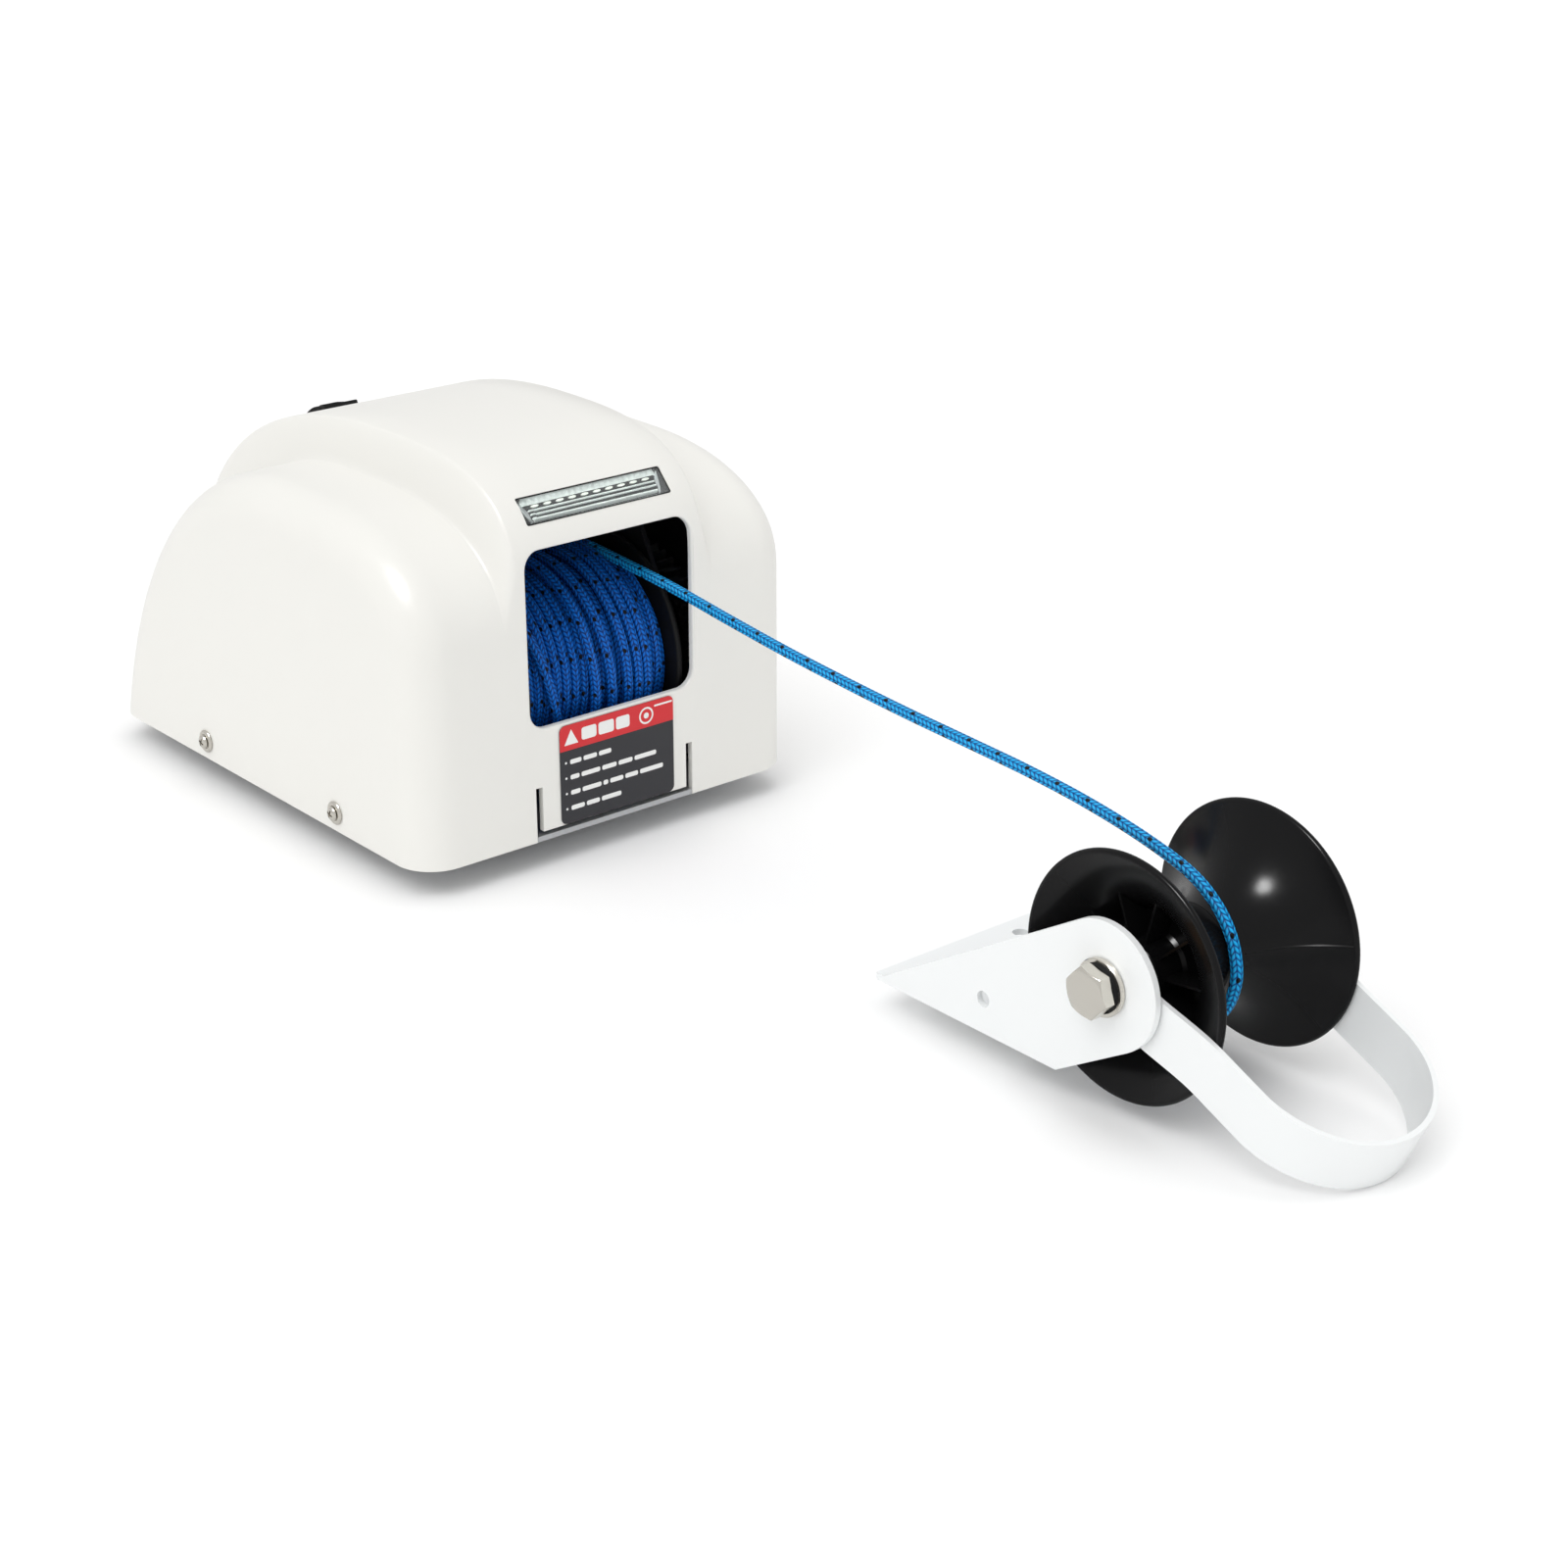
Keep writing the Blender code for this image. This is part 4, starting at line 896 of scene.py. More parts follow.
def make_work_light():
    """The bar light: a bevelled clear lens over a dark tray with silvered ribs, lamps and pleats."""
    half, tall = span("light_lens")[1].x, 6.8
    base = rounded_rect(half, tall, 0.8, 3)
    rings = [[(x, y, -1.2) for x, y in base], [(x, y, 0.1) for x, y in base]]
    for inset, lift in ((1.2, 1.0), (2.4, 1.5)):
        top = rounded_rect(half - 2.2 * inset, tall - inset, 0.6, 3)
        rings.append([(x, y, lift) for x, y in top])
    lens = piece(loft(rings), "lens_bar", shared(clear_lens), place=LIGHT_PLACE, smooth=20.0)
    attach(lens, "frame")
    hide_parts("light_lens")
    # the ribs and facets are near white: a painted highlight for the glints of their silvering
    painted_glint_white = shared(silvered_plastic_painted_glint)
    floor = slab(rounded_rect(half - 0.2, tall - 0.2, 0.7, 3), -5.0, -2.5)
    tray = piece(floor, "light_reflector", shared(motor_enamel), place=LIGHT_PLACE)
    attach(tray, "frame")
    ribs = bmesh.new()
    for k in range(3):
        y, wide = -3.6 + 2.0 * k, half - 5.6 + 0.2 * k
        section = [(y + 0.36 * cos(pi * a / 6), -1.9 + 0.4 * sin(pi * a / 6)) for a in range(7)]
        section += [(y - 0.36, -2.6), (y + 0.36, -2.6)]
        slab(section, -wide, wide, axis="X", mesh=ribs)
    bars = piece(ribs, "light_ribs", painted_glint_white, place=LIGHT_PLACE)
    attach(bars, "frame")
    facets = bmesh.new()
    wide = (2 * half - 6.0) / PLEATS
    for k in range(PLEATS):
        left = -half + 3.0 + wide * k
        corners = [(left, -2.2), (left + wide / 2, -1.8), (left + wide, -2.2), (left + wide, -4.2),
                   (left, -4.2)]
        rings = [[(x, y, z + lift) for x, z in corners] for y, lift in ((3.4, -0.2), (tall - 0.5, 0.3))]
        loft(rings, facets)
    upper = piece(facets, "light_facets", painted_glint_white, place=LIGHT_PLACE, smooth=10.0)
    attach(upper, "frame")
    sills = bmesh.new()
    front = [(-half + 3.0, -6.4), (half - 3.0, -6.4), (half - 5.0, -4.7), (-half + 5.0, -4.7)]
    slab(front, -4.2, -2.0, mesh=sills)
    for end in (-1, 1):
        slab([(end * (half - 1.2), 5.8), (end * (half - 2.2), 5.8), (end * (half - 4.6), 0.0),
              (end * (half - 4.6), -4.4), (end * (half - 3.8), -4.4)], -4.2, -2.0, mesh=sills)
    sill = piece(sills, "light_sills", shared(zinc_plate), place=LIGHT_PLACE)
    bevel(sill, 0.3 * MM, 2)
    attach(sill, "frame")
    chips = bmesh.new()
    for i in range(LAMPS):
        x = (i - (LAMPS - 1) / 2) * 2 * half / (LAMPS + 1.6)
        outline = [(x + 2.1 * cos(a), 2.3 + 0.6 * sin(a)) for a in (2 * pi * k / 20 for k in range(20))]
        slab(outline, -4.2, -1.9, mesh=chips)
    leds = piece(chips, "light_chips", shared(led_phosphor), place=LIGHT_PLACE)
    bevel(leds, 0.25 * MM, 2)
    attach(leds, "frame")
    outline = rounded_rect(half + 0.35, tall + 0.35, 1.0, 3)
    mesh = slab(outline, -5.0, 0.2, holes=[rounded_rect(half - 0.1, tall - 0.1, 0.8, 3)])
    gasket = piece(mesh, "light_gasket", shared(black_rubber), place=LIGHT_PLACE)
    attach(gasket, "frame")


def make_switch():
    """The up and down switch: a bevelled bezel and a rocker with grip bars at each end."""
    hole = rounded_rect(7.8, 13.8, 0.8, 3)
    bezel = piece(slab(rounded_rect(11.2, 16.8, 3.0, 8), 0.4, 2.6, holes=[hole]), "switch_frame",
                  shared(black_nylon), place=SWITCH_PLACE)
    bevel(bezel, 1.1 * MM)
    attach(bezel, "frame")
    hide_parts("switch_bezel")
    reach, drop, crown_top = 13.2, 4.0, 10.05
    side = [(reach * cos(radians(a)), reach * sin(radians(a))) for a in (5.0, 12.0, 18.0, 24.0, 30.0)]
    crown = [(9.8, 7.9), (8.0, 8.7), (6.0, 9.3), (4.0, 9.7), (2.0, 9.95)]
    half = [(6.0, -2.0)] + side + crown
    outline = half + [(0.0, crown_top)] + [(-y, z) for y, z in reversed(half)]
    place = SWITCH_PLACE @ Matrix.Translation((0.0, 0.0, -drop))
    rocker = piece(slab(outline, -7.5, 7.5, axis="X"), "rocker_cap", shared(black_rubber), place=place)
    bevel(rocker, 0.5 * MM)
    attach(rocker, "rocker")
    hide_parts("switch_rocker")
    grips = bmesh.new()
    for end in (-1, 1):
        for k in range(3):
            y = end * (5.2 + 1.9 * k)
            z = crown_top - 0.0205 * y * y
            slab(rounded_rect(5.0, 0.45, 0.4, 3, (0.0, y)), z - 1.0, z + 0.25, mesh=grips)
    bars = piece(grips, "rocker_grips", shared(black_nylon), place=place)
    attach(bars, "rocker")


def make_gland():
    """The cable gland low on the back: a knurled dome nut on a threaded body."""
    profile = [(-10.0, 3.6), (-10.0, 8.0), (0.5, 8.0), (0.5, 11.0), (2.4, 11.0), (3.4, 10.2), (4.0, 8.6),
               (4.0, 3.6)]
    body = piece(turned(profile, segments=60, axis="Z"), "gland_body", shared(black_nylon), place=GLAND_PLACE)
    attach(body, "frame")
    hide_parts("cable_gland")
    mesh = bmesh.new()
    for i in range(18):
        angle = 2 * pi * i / 18
        slab(circle(10.7 * cos(angle), 10.7 * sin(angle), 0.7, 10), 0.6, 2.6, mesh=mesh)
    knurl = piece(mesh, "gland_knurl", shared(black_nylon), place=GLAND_PLACE)
    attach(knurl, "frame")


# ---- rope and drum -----------------------------------------------------------------------------
def make_free_rope(settings):
    """The rope from the drum over the roller, and the stopper knot that it ends in."""
    mat = shared(braided_polyester, settings)
    knots = [Vector((AXLE.x, y / MM, z / MM)) for y, z in ROPE_ROUTE]
    points = smooth_curve(knots, 170)
    rope = piece(rope_tube(points, settings.diameter / 2 / MM), "free_rope", mat)
    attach(rope, "frame")
    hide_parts("rope_run")
    low, high = span("rope_knot")
    centre, heading = (low + high) / 2, (points[-1] - points[-2]).normalized()
    turn = Vector((0.0, 0.0, 1.0)).rotation_difference(heading).to_matrix()
    loop = []
    for i in range(90):
        t = 2 * pi * i / 90
        spot = Vector((1.45 * (sin(t) + 2 * sin(2 * t)), 1.45 * (cos(t) - 2 * cos(2 * t)), -3.6 * sin(3 * t)))
        loop.append(centre + turn @ spot)
    knot = piece(rope_tube(loop, settings.diameter * 0.48 / MM, closed=True), "stopper_knot", mat)
    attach(knot, "frame")
    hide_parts("rope_knot")


LAYERS, TURNS = 4, 15                       # even layers on the drum, and turns in each
CLIMB = 0.5                                 # turns that it takes to climb to the next layer
STEPS = 48                                  # points in a turn
LAST_TURNS = (-7.0, 1.5, 12.5, 19.0, 24.5)  # where the last, uneven layer's turns cross the front


def winding_path(diameter):
    """The rope on the drum: even layers back and forth, then a loose last layer up to the free rope."""
    start = Vector((0.0, ROPE_ROUTE[0][0] / MM - DRUM.y, ROPE_ROUTE[0][1] / MM - DRUM.z))
    top = start.length
    finish_angle = atan2(start.z, start.y)
    half = (WINDING_HIGH.x - WINDING_LOW.x - diameter) / 2
    outer = (WINDING_HIGH.z - WINDING_LOW.z) / 2 - diameter / 2
    step_up = diameter * 0.92
    even = LAYERS * (TURNS + CLIMB)
    total = even + len(LAST_TURNS) + 1
    spots = [-half] + list(LAST_TURNS) + [AXLE.x]
    points = []
    for i in range(int(total * STEPS) + 1):
        turn = i / STEPS
        if turn < even:
            layer = int(turn / (TURNS + CLIMB))
            inside = turn - layer * (TURNS + CLIMB)
            along = min(inside / TURNS, 1.0) * 2 * half - half
            x = -along if (LAYERS - layer) % 2 else along
            climb = smooth_step(TURNS, TURNS + CLIMB, inside)
            radius = min(outer + (climb - LAYERS + 1 + layer) * step_up, top)
        else:
            late = turn - even
            k = min(int(late), len(spots) - 2)
            x = spots[k] + (spots[k + 1] - spots[k]) * smooth_step(0.0, 0.62, late - k)
            radius = top
        angle = finish_angle + 2 * pi * (turn - total)
        points.append(DRUM + Vector((x, radius * cos(angle), radius * sin(angle))))
    return points


def make_winding(settings):
    # the rope on the drum takes the darker braid colours, painted shade for the turns inside the cover
    mat = shared(wound_polyester_painted_shade, settings)
    points = winding_path(settings.diameter / MM)
    rope = piece(rope_tube(points, settings.diameter / 2 / MM, 10), "wound_rope", mat)
    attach(rope, "drum")
    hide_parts("rope_winding")


def make_drum():
    """The spool: moulded flanges with rounded rims and stiffening rings on their outer faces."""
    half, inner = (DRUM_HIGH.x - DRUM_LOW.x) / 2, WINDING_HIGH.x + 0.3
    core, rim, thick = 27.0, 1.5, half - inner
    edge = []
    for i in range(9):
        turn = pi * i / 8
        edge.append((half - thick / 2 + thick / 2 * cos(turn), FLANGE_RADIUS - rim + rim * sin(turn)))
    side = [(half, 8.3), (half, 14.0), (half - 1.0, 15.0), (half - 1.0, 32.0), (half, 33.0), (half, 36.0),
            (half - 1.0, 37.0), (half - 1.0, 47.0), (half, 48.0)]
    profile = side + edge + [(inner, core + 1.0), (inner - 1.0, core)]
    whole = profile + [(-x, r) for x, r in reversed(profile)]
    spool = piece(turned(whole, DRUM, 96), "drum_flanges", shared(black_nylon))
    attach(spool, "drum")
    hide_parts("drum_spool")


# ---- bow bracket, roller and bail ----------------------------------------------------------------
EAR_RADIUS, EAR_SLOPE = 27.2, radians(30.8)
EAR_HOLE = (-414.8, 15.2)
BASE_BOW = -438.0                           # where the base ends towards the roller
BASE_HOLES = (-422.0, -361.6)


def ear_outline():
    """An ear in (y, z): a slanted strip with a round end about the axle, cut off at the deck."""
    nose = []
    for i in range(33):
        angle = pi / 2 - EAR_SLOPE + pi * i / 32
        nose.append((AXLE.y + EAR_RADIUS * cos(angle), AXLE.z + EAR_RADIUS * sin(angle)))
    return [(EARS_HIGH.y, 0.0)] + nose + [(nose[-1][0] + nose[-1][1] * cos(EAR_SLOPE) / sin(EAR_SLOPE), 0.0)]


def make_bracket(settings):
    sheet = settings.sheet / MM
    outline = ear_outline()
    holes = [circle(AXLE.y, AXLE.z, 6.3, 48), circle(*EAR_HOLE, 3.5, 32)]
    ears = slab(outline, EARS_LOW.x, EARS_LOW.x + sheet, axis="X", holes=holes)
    bracket = piece(ears, "bow_bracket", shared(powder_coat, settings))
    combine(bracket, slab(outline, EARS_HIGH.x - sheet, EARS_HIGH.x, axis="X", holes=holes), "UNION")
    feet = [circle(AXLE.x + s * 24.0, y, 3.6, 32) for s in (-1, 1) for y in BASE_HOLES]
    left, right = EARS_LOW.x + 0.5, EARS_HIGH.x - 0.5
    base = [(left, BASE_BOW), (right, BASE_BOW), (right, EARS_HIGH.y), (left, EARS_HIGH.y)]
    combine(bracket, slab(base, 0.0, sheet, holes=feet), "UNION")
    settle(bracket)
    bevel(bracket, settings.edge)
    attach(bracket, "frame")
    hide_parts("davit_bracket")


def bail_line(settings):
    """Half of the strap's outer line, as (reach from the axle, distance from the middle)."""
    outside = (EARS_HIGH.x - EARS_LOW.x) / 2 - settings.sheet / MM - 0.3
    reach, narrow = settings.bail_reach / MM, 42.2
    radius = settings.bail_width / 2 / MM
    bend = reach - narrow
    points = [(-radius + radius * (1.0 - cos(pi / 2 * i / 10)), outside) for i in range(10)]
    for i in range(25):
        s = 14.0 + (58.0 - 14.0) * i / 24
        points.append((s, outside - (outside - narrow) * smooth_step(14.0, 52.0, s)))
    for i in range(1, 33):
        angle = pi / 2 * i / 32
        points.append((bend + (reach - bend) * sin(angle), narrow * cos(angle)))
    return points


def make_bail(settings):
    """The bail: a flat strap bent to a loop, with round ends that swing on the axle."""
    half = bail_line(settings)
    line = half[:-1] + [(half[-1][0], 0.0)] + [(s, -w) for s, w in reversed(half[:-1])]
    normals = outward(line)
    wide, thick = settings.bail_width / 2 / MM, settings.bail_thick / MM
    mesh = bmesh.new()
    rings = []
    for (s, w), n in zip(line, normals):
        high = sqrt(max(wide ** 2 - min(s, 0.0) ** 2, 0.6))
        out, into = (-w, -s), (-w + thick * n[1], -s + thick * n[0])
        rings.append([(*out, -high), (*out, high), (*into, high), (*into, -high)])
    place = Matrix.Translation(AXLE) @ Matrix.Rotation(BAIL_TILT, 4, "X")
    bail = piece(loft(rings, mesh), "bail_loop", shared(powder_coat, settings), place=place)
    combine(bail, slab(circle(AXLE.y, AXLE.z, 6.2, 48), AXLE.x - 60.0, AXLE.x + 60.0, axis="X"))
    settle(bail)
    bevel(bail, settings.edge, 3, 50.0)
    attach(bail, "bail")
    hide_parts("bail_strap")


RIM_ROUND = 1.6                             # half the wall's thickness at the rim
FLARE_END = ROLLER_REACH - 2.2              # where the flare runs into the rim's rounding
FLARE_TOP = RIM_RADIUS - 1.05
FLARE_REACH = 1.118 * FLARE_END             # where the flare's ellipse would stand upright
FIRST_FIN = 0.83                            # in spaces between fins, round from the stern
SEAMS = (radians(171.0), radians(-9.0))     # the mould's parting line, round from the stern


def flare(distance, waist):
    """The roller's radius at a distance from its middle: a waist that flares to the rims."""
    full = 1.0 - sqrt(1.0 - (FLARE_END / FLARE_REACH) ** 2)
    return waist + (FLARE_TOP - waist) * (1.0 - sqrt(1.0 - (distance / FLARE_REACH) ** 2)) / full


def across_wall(distance, waist):
    """The unit direction through the wall, from the flare to the dish, as (along, radius)."""
    lean = (flare(distance + 0.1, waist) - flare(distance - 0.1, waist)) / 0.2
    return lean / hypot(lean, 1.0), -1.0 / hypot(lean, 1.0)


def roller_profile(waist, wall):
    """Half a roller's section: the flare, a rounded rim, and the dish down to the hub."""
    steps = 30
    distances = [FLARE_END * sin(pi / 2 * i / steps) for i in range(1, steps + 1)]
    outer = [(0.15, waist)] + [(d, flare(d, waist)) for d in distances]
    through = across_wall(FLARE_END, waist)
    centre = (FLARE_END + RIM_ROUND * through[0], outer[-1][1] + RIM_ROUND * through[1])
    start = atan2(-through[1], -through[0])
    turns = [start - pi * k / 10 for k in range(1, 11)]
    rim = [(centre[0] + RIM_ROUND * cos(turn), centre[1] + RIM_ROUND * sin(turn)) for turn in turns]
    inner = []
    for d in reversed(distances[8:-1]):
        through = across_wall(d, waist)
        thick = 2 * RIM_ROUND + (wall - 2 * RIM_ROUND) * smooth_step(FLARE_END, FLARE_END - 8.0, d)
        inner.append((d + thick * through[0], flare(d, waist) + thick * through[1]))
    return outer, rim, inner, distances


def make_roller(settings):
    """Two moulded halves, each a flared horn with a rounded rim and a dish stiffened by fins."""
    mat = shared(roller_plastic, settings)
    waist = settings.waist_radius / MM
    outer, rim, inner, distances = roller_profile(waist, settings.wall / MM)
    deep = inner[-1]
    hub = [(deep[0] - 0.2, 14.5), (deep[0] + 1.2, 13.2), (33.2, 13.0), (34.0, 12.2), (34.0, 8.6), (0.15, 8.6)]
    for side, name, node in ((-1, "left", "roller_left"), (1, "right", "roller_right")):
        profile = [(side * d, r) for d, r in outer + rim + inner + hub]
        body = piece(turned(profile, AXLE, 144), f"roller_{name}_half", mat)
        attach(body, "roller")
        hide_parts(node)
        fins = bmesh.new()
        for k in range(settings.ribs):
            turn = 2 * pi * (k + FIRST_FIN) / settings.ribs
            fin_mesh(fins, side, turn, inner, settings.rib_thickness / MM)
        made = piece(fins, f"roller_{name}_fins", mat)
        bevel(made, 0.3 * MM, 2)
        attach(made, "roller")
        seams = bmesh.new()
        for turn in SEAMS:
            seam_mesh(seams, side, turn, waist, distances)
        seam = piece(seams, f"roller_{name}_seams", mat, 60.0)
        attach(seam, "roller")


def fin_mesh(mesh, side, turn, inner, thickness):
    """One radial fin from the hub to the dish's wall."""
    top = 30.5
    wall = [(d, r) for d, r in inner if d < top + 1.0]
    outline = [(top, 12.5), (top - 0.8, wall[0][1] - 1.0)] + [(d - 0.6, r + 0.8) for d, r in wall]
    outline.append((wall[-1][0], 12.5))
    across = Vector((0.0, -sin(turn), cos(turn)))
    along = Vector((0.0, cos(turn), sin(turn)))
    faces = []
    for offset in (-thickness / 2, thickness / 2):
        faces.append([mesh.verts.new(AXLE + Vector((side * d, 0.0, 0.0)) + along * r + across * offset)
                      for d, r in outline])
    count = len(outline)
    for i in range(count):
        j = (i + 1) % count
        mesh.faces.new((faces[0][i], faces[0][j], faces[1][j], faces[1][i]))
    triangles = tessellate_polygon([[Vector((d, r, 0.0)) for d, r in outline]])
    for a, b, c in triangles:
        mesh.faces.new((faces[0][a], faces[0][b], faces[0][c]))
        mesh.faces.new((faces[1][c], faces[1][b], faces[1][a]))


def seam_mesh(mesh, side, turn, waist, distances):
    """The mould's parting line: a low ridge up the flare from the waist to the rim."""
    rings = []
    for d in distances[3:-1]:
        r = flare(d, waist)
        through = across_wall(d, waist)
        out = Vector((-side * through[0], -through[1]))
        ring = []
        for swing, lift in ((-0.7, -0.15), (0.0, 0.45), (0.7, -0.15), (0.0, -0.6)):
            angle = turn + swing / r
            reach = r + lift * out.y
            ring.append(AXLE + Vector((side * d + lift * out.x, reach * cos(angle), reach * sin(angle))))
        rings.append(ring)
    loft(rings, mesh)


THREAD_PITCH = 1.75                         # M12 coarse


def hexagon(centre, flats, turn=0.0):
    return circle(centre.y, centre.z, flats / 2 / cos(pi / 6), 6, turn)


def on_axle(profile, segments):
    """A ring turned about the axle from a profile of (place across the frame, radius)."""
    return turned([(x - AXLE.x, radius) for x, radius in profile], AXLE, segments)


def make_axle():
    """The M12 hex bolt, its washers, a black ring behind the head, and a locking nut at the far end."""
    steel = shared(stainless)
    flats, corner = 19.0, 19.0 / 2 / cos(pi / 6)
    head_out, end = span("axle_bolt")[0].x, span("axle_bolt")[1].x
    head_in = EARS_LOW.x - 4.6
    head = piece(slab(hexagon(AXLE, flats, radians(12.0)), head_out, head_in, axis="X"), "bolt_head", steel)
    cone = [(head_out - 3.0, 0.0), (head_out, flats / 2 * 0.93), (head_out + 2.2, corner + 1.6),
            (head_in + 2.0, corner + 1.6), (head_in + 2.0, 0.0)]
    combine(head, on_axle(cone, 64), "INTERSECT")
    settle(head)
    bevel(head, 0.25 * MM, 2)
    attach(head, "frame")
    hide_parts("axle_bolt")
    x = EARS_HIGH.x - 14.0
    shank = [(head_in - 0.5, 0.0), (head_in - 0.5, 6.0), (x, 6.0)]
    while x < end - 2.4:
        shank += [(x + 0.2, 5.95), (x + 0.95, 5.15), (x + 1.7, 5.95)]
        x += THREAD_PITCH
    shank += [(end - 1.0, 5.9), (end, 5.0), (end, 0.0)]
    bolt = piece(on_axle(shank, 48), "bolt_shank", steel)
    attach(bolt, "frame")
    for name, node in (("head_side_washer", "head_washer"), ("nut_side_washer", "nut_washer")):
        near, far = span(node)[0].x, span(node)[1].x
        ring = [(near, 6.4), (near, 11.6), (near + 0.4, 12.0), (far - 0.4, 12.0), (far, 11.6), (far, 6.4)]
        washer = piece(on_axle(ring, 64), name, steel)
        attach(washer, "frame")
        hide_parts(node)
    # a black rubber ring fills the gap behind the bolt head
    gap_in, gap_out = head_in + 0.05, EARS_LOW.x - 2.65
    gap = [(gap_in, 6.1), (gap_in, 10.0), (gap_out, 10.4), (gap_out, 6.1)]
    black_ring = piece(on_axle(gap, 48), "bolt_black_ring", shared(black_rubber))
    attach(black_ring, "frame")
    low, high = span("axle_nut")
    body = slab(hexagon(AXLE, flats), low.x, high.x - 3.0, axis="X", holes=[circle(AXLE.y, AXLE.z, 6.3, 32)])
    nut = piece(body, "lock_nut", steel)
    bevel(nut, 0.7 * MM, 2)
    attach(nut, "frame")
    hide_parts("axle_nut")
    crown = [(-3.0, 6.3), (-3.0, 8.9), (-1.2, 8.6), (-0.2, 7.6), (0.0, 6.3)]
    collar = piece(on_axle([(high.x + x, r) for x, r in crown], 48), "lock_nut_collar", steel)
    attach(collar, "frame")


# ---- carried-over CAD nodes ----------------------------------------------------------------------
CARRIED = {
    zinc_plate: ("base_tray",),
    # the brackets, gear plate and standoffs inside the cover are charcoal, darker than the base tray's zinc
    charcoal_zinc: ("side_bracket_left", "side_bracket_right", "gear_plate", "gear_standoff_1",
                 "gear_standoff_2", "gear_standoff_3"),
    gear_steel: ("drum_gear", "idler_gear", "idler_pinion", "motor_pinion"),
    bronze: ("drum_bush_left", "drum_bush_right", "roller_sleeve"),
    stainless: ("drum_shaft", "idler_shaft", "motor_shaft", "motor_screw_1", "motor_screw_2"),
    motor_enamel: ("motor_can", "motor_rear_cap"),
    cast_aluminium: ("motor_front_cap",),
    ferrite: ("motor_magnet_1", "motor_magnet_2"),
    copper_wire: ("motor_armature",),
    brass: ("motor_commutator",),
    black_nylon: ("relay_up", "relay_down", "control_box", "circuit_breaker", "switch_body"),
    chrome_film: ("light_housing",),
    green_board: ("light_board",),
}


def dress_machinery():
    """Give the CAD pieces that stay their finishes."""
    for maker, names in CARRIED.items():
        for name in names:
            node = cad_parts[name]
            node.data.materials.clear()
            node.data.materials.append(shared(maker))


# ---- studio --------------------------------------------------------------------------------------
def add_lamp(name, strength, spread, heading):
    """A distant lamp that shines along a heading, softened over an angle in degrees."""
    data = bpy.data.lights.new(name, "SUN")
    data.energy = strength
    data.angle = radians(spread)
    lamp = bpy.data.objects.new(name, data)
    lamp.rotation_mode = "QUATERNION"
    lamp.rotation_quaternion = Vector(heading).to_track_quat("-Z", "Y")
    bpy.context.collection.objects.link(lamp)
    return lamp


def make_studio(settings):
    data = bpy.data.cameras.new("camera")
    data.lens = settings.lens
    data.sensor_width = 36.0
    data.clip_start, data.clip_end = 0.05, 50.0
    camera = bpy.data.objects.new("camera", data)
    azimuth, elevation = settings.azimuth, settings.elevation
    back = Vector((sin(azimuth) * cos(elevation), -cos(azimuth) * cos(elevation), sin(elevation)))
    camera.location = Vector(settings.target) + back * settings.distance
    camera.rotation_mode = "QUATERNION"
    camera.rotation_quaternion = (-back).to_track_quat("-Z", "Y")
    bpy.context.collection.objects.link(camera)
    scene = bpy.context.scene
    scene.camera = camera
    scene.view_settings.view_transform = "Standard"
    world = bpy.data.worlds.new("studio_sky")
    scene.world = world
    world.use_nodes = True
    tree = world.node_tree
    tree.nodes.clear()
    rays = add_node(tree, "ShaderNodeLightPath")
    strength = add_node(tree, "ShaderNodeMapRange", {"Value": rays.outputs["Is Glossy Ray"],
                                                     "To Min": settings.sky, "To Max": settings.sky_in_gloss})
    sky = add_node(tree, "ShaderNodeBackground", {"Color": linear("#FFFFFF"), "Strength": strength})
    add_node(tree, "ShaderNodeOutputWorld", {"Surface": sky})
    key_heading = (0.58, 0.12, -0.81)
    key = add_lamp("key_light", settings.key, 40.0, key_heading)
    key.visible_glossy = False
    top = add_lamp("top_light", settings.top, 60.0, (0.0, 0.1, -1.0))
    top.visible_glossy = False
    sparkle = add_lamp("sparkle_light", settings.sparkle, 15.0, key_heading)
    sparkle.visible_diffuse = False
    top_face = CAD_LOW.z / MM - 0.6
    corners = [(-9000.0, -9000.0), (9000.0, -9000.0), (9000.0, 9000.0), (-9000.0, 9000.0)]
    ground = slab(corners, top_face - 5.0, top_face)
    paper = piece(ground, "studio_paper", studio_floor(settings.floor_colour))


# ---- operators -----------------------------------------------------------------------------------
class WINDLASS_OT_studio(Operator):
    """Set the camera, the even light and the floor"""
    bl_idname = "windlass.studio"
    bl_label = "Studio"

    def execute(self, context):
        make_studio(context.scene.windlass_studio)
        return {"FINISHED"}


class WINDLASS_OT_free_rope(Operator):
    """Lay the rope from the drum round the bow roller"""
    bl_idname = "windlass.free_rope"
    bl_label = "Free Rope"

    def execute(self, context):
        make_free_rope(context.scene.windlass_rope)
        return {"FINISHED"}


class WINDLASS_OT_winding(Operator):
    """Wind the rope on the drum"""
    bl_idname = "windlass.winding"
    bl_label = "Rope on the Drum"

    def execute(self, context):
        make_winding(context.scene.windlass_rope)
        return {"FINISHED"}


class WINDLASS_OT_drum(Operator):
    """Turn the drum's spool"""
    bl_idname = "windlass.drum"
    bl_label = "Drum"

    def execute(self, context):
        make_drum()
        return {"FINISHED"}


class WINDLASS_OT_cover(Operator):
    """Mould the cover with its window, slots and seats"""
    bl_idname = "windlass.cover"
    bl_label = "Cover"

    def execute(self, context):
        make_cover(context.scene.windlass_housing)
        return {"FINISHED"}


class WINDLASS_OT_screws(Operator):
    """Fit the cover's screws and cup washers"""
    bl_idname = "windlass.screws"
    bl_label = "Cover Screws"

    def execute(self, context):
        make_screws()
        return {"FINISHED"}


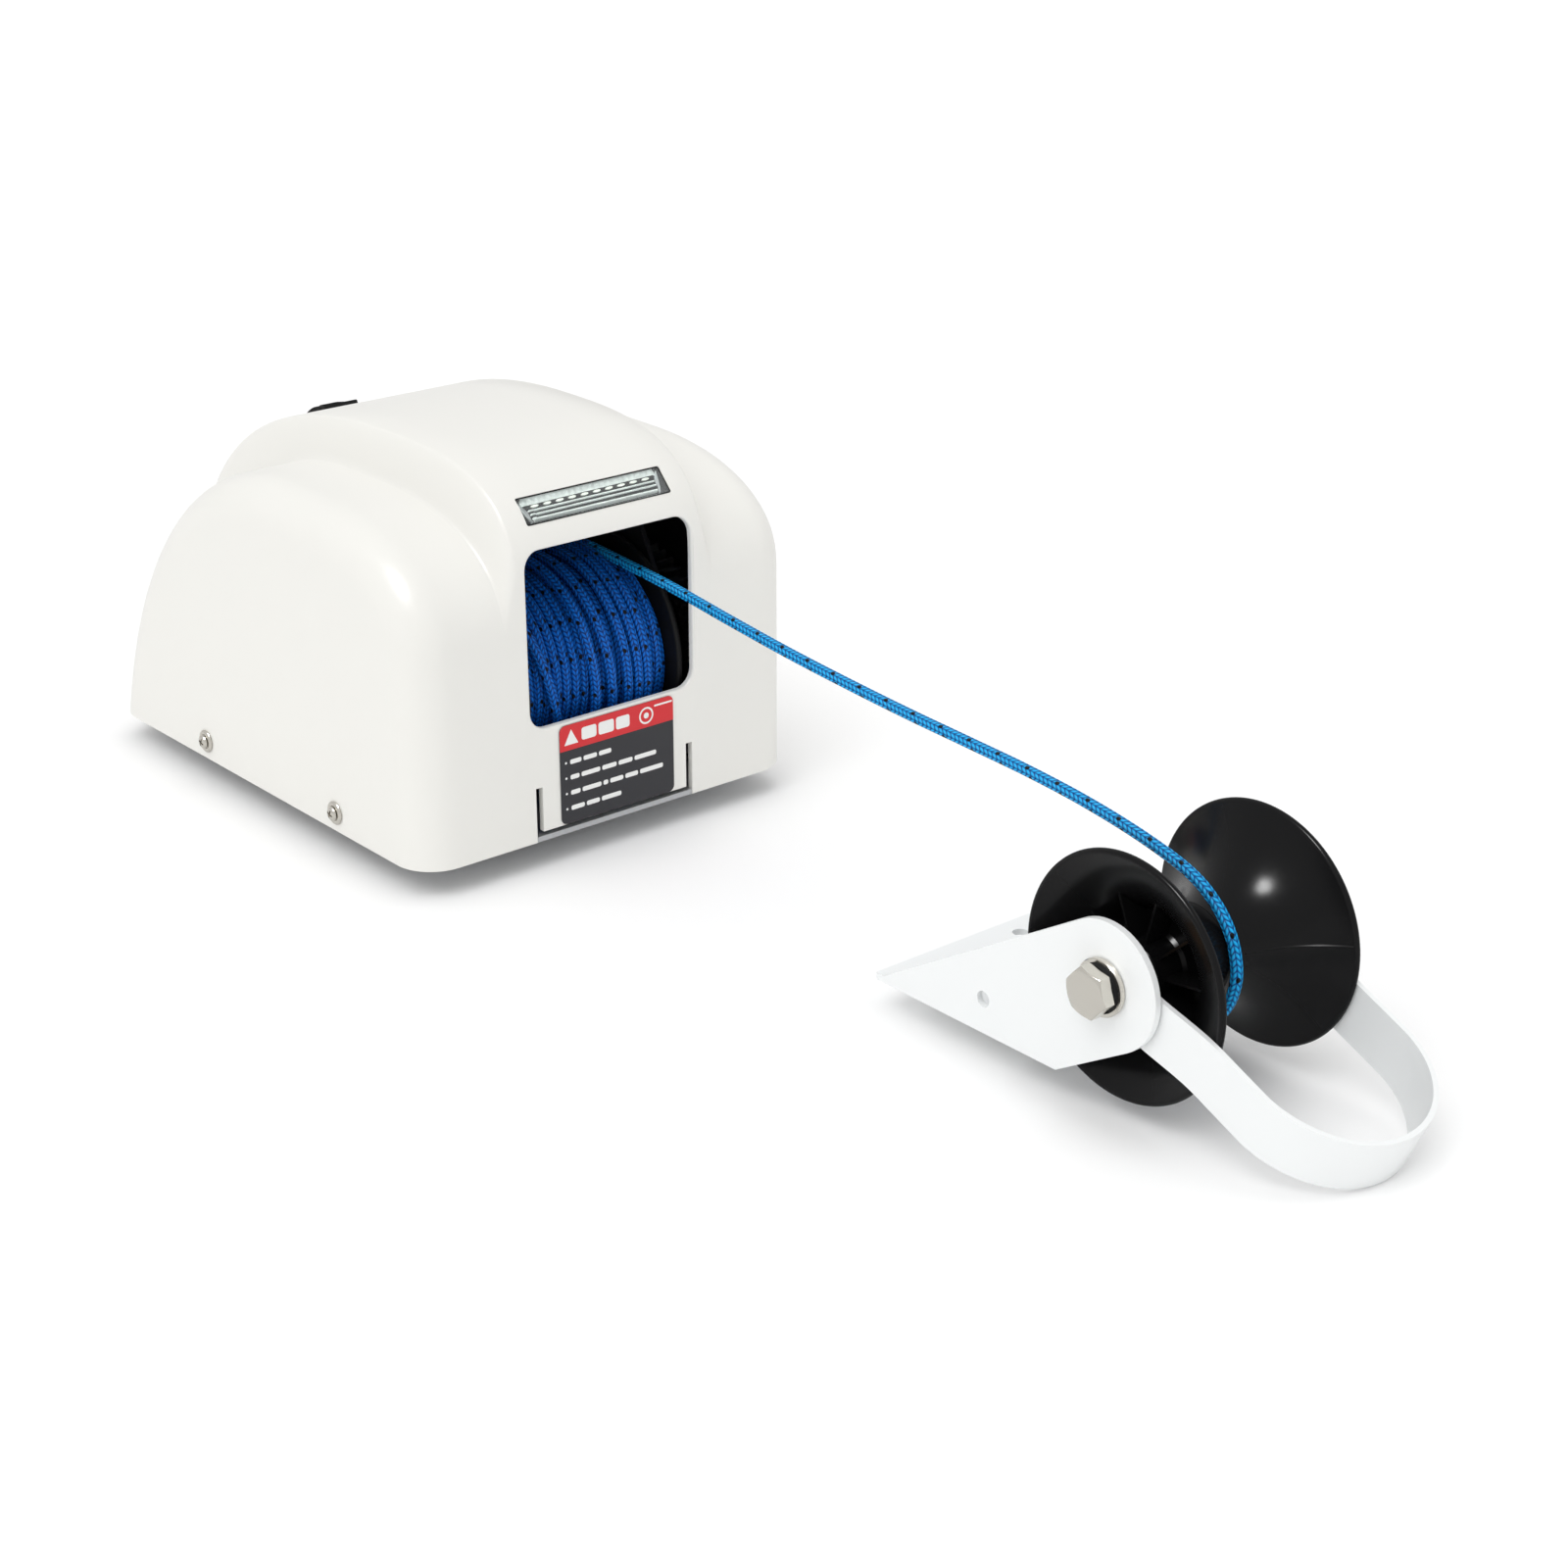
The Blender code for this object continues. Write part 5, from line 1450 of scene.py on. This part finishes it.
class WINDLASS_OT_label(Operator):
    """Stick the two-tone label below the window"""
    bl_idname = "windlass.label"
    bl_label = "Label"

    def execute(self, context):
        make_label(context.scene.windlass_housing)
        return {"FINISHED"}


class WINDLASS_OT_work_light(Operator):
    """Fit the bar light above the window"""
    bl_idname = "windlass.work_light"
    bl_label = "Work Light"

    def execute(self, context):
        make_work_light()
        return {"FINISHED"}


class WINDLASS_OT_switch(Operator):
    """Fit the up and down switch on the hump"""
    bl_idname = "windlass.switch"
    bl_label = "Switch"

    def execute(self, context):
        make_switch()
        return {"FINISHED"}


class WINDLASS_OT_gland(Operator):
    """Fit the cable gland at the back"""
    bl_idname = "windlass.gland"
    bl_label = "Cable Gland"

    def execute(self, context):
        make_gland()
        return {"FINISHED"}


class WINDLASS_OT_bracket(Operator):
    """Bend and coat the bow bracket"""
    bl_idname = "windlass.bracket"
    bl_label = "Bow Bracket"

    def execute(self, context):
        make_bracket(context.scene.windlass_bracket)
        return {"FINISHED"}


class WINDLASS_OT_bail(Operator):
    """Bend and coat the bail"""
    bl_idname = "windlass.bail"
    bl_label = "Bail"

    def execute(self, context):
        make_bail(context.scene.windlass_bracket)
        return {"FINISHED"}


class WINDLASS_OT_roller(Operator):
    """Mould the two halves of the bow roller"""
    bl_idname = "windlass.roller"
    bl_label = "Bow Roller"

    def execute(self, context):
        make_roller(context.scene.windlass_roller)
        return {"FINISHED"}


class WINDLASS_OT_axle(Operator):
    """Fit the roller's bolt, washers and nut"""
    bl_idname = "windlass.axle"
    bl_label = "Axle"

    def execute(self, context):
        make_axle()
        return {"FINISHED"}


class WINDLASS_OT_machinery(Operator):
    """Give the tray, motor, gears and electrics their finishes"""
    bl_idname = "windlass.machinery"
    bl_label = "Machinery"

    def execute(self, context):
        dress_machinery()
        return {"FINISHED"}


PIECES = (WINDLASS_OT_studio, WINDLASS_OT_free_rope, WINDLASS_OT_winding, WINDLASS_OT_drum,
          WINDLASS_OT_cover, WINDLASS_OT_screws, WINDLASS_OT_label, WINDLASS_OT_work_light,
          WINDLASS_OT_switch, WINDLASS_OT_gland, WINDLASS_OT_bracket, WINDLASS_OT_bail,
          WINDLASS_OT_roller, WINDLASS_OT_axle, WINDLASS_OT_machinery)
SETTINGS = {"windlass_housing": HousingSettings, "windlass_roller": RollerSettings,
            "windlass_bracket": BracketSettings, "windlass_rope": RopeSettings,
            "windlass_studio": StudioSettings}


class WINDLASS_PT_panel(Panel):
    """The windlass's settings and one button for each piece"""
    bl_idname = "WINDLASS_PT_panel"
    bl_label = "Anchor Windlass"
    bl_space_type = "VIEW_3D"
    bl_region_type = "UI"
    bl_category = "Windlass"

    def draw(self, context):
        for name, group in SETTINGS.items():
            box = self.layout.box()
            box.label(text=group.__name__.replace("Settings", ""))
            for key in group.__annotations__:
                box.prop(getattr(context.scene, name), key)
        for operator in PIECES:
            self.layout.operator(operator.bl_idname)


def register():
    for group in SETTINGS.values():
        bpy.utils.register_class(group)
    for cls in PIECES + (WINDLASS_PT_panel,):
        bpy.utils.register_class(cls)
    for name, group in SETTINGS.items():
        setattr(bpy.types.Scene, name, PointerProperty(type=group))


def unregister():
    for name in SETTINGS:
        delattr(bpy.types.Scene, name)
    for cls in (WINDLASS_PT_panel,) + PIECES[::-1] + tuple(SETTINGS.values()):
        bpy.utils.unregister_class(cls)


def main():
    register()
    bpy.ops.windlass.studio()
    bpy.ops.windlass.free_rope()
    bpy.ops.windlass.winding()
    bpy.ops.windlass.drum()
    bpy.ops.windlass.cover()
    bpy.ops.windlass.screws()
    bpy.ops.windlass.label()
    bpy.ops.windlass.work_light()
    bpy.ops.windlass.switch()
    bpy.ops.windlass.gland()
    bpy.ops.windlass.bracket()
    bpy.ops.windlass.bail()
    bpy.ops.windlass.roller()
    bpy.ops.windlass.axle()
    bpy.ops.windlass.machinery()


if __name__ == "__main__":
    main()
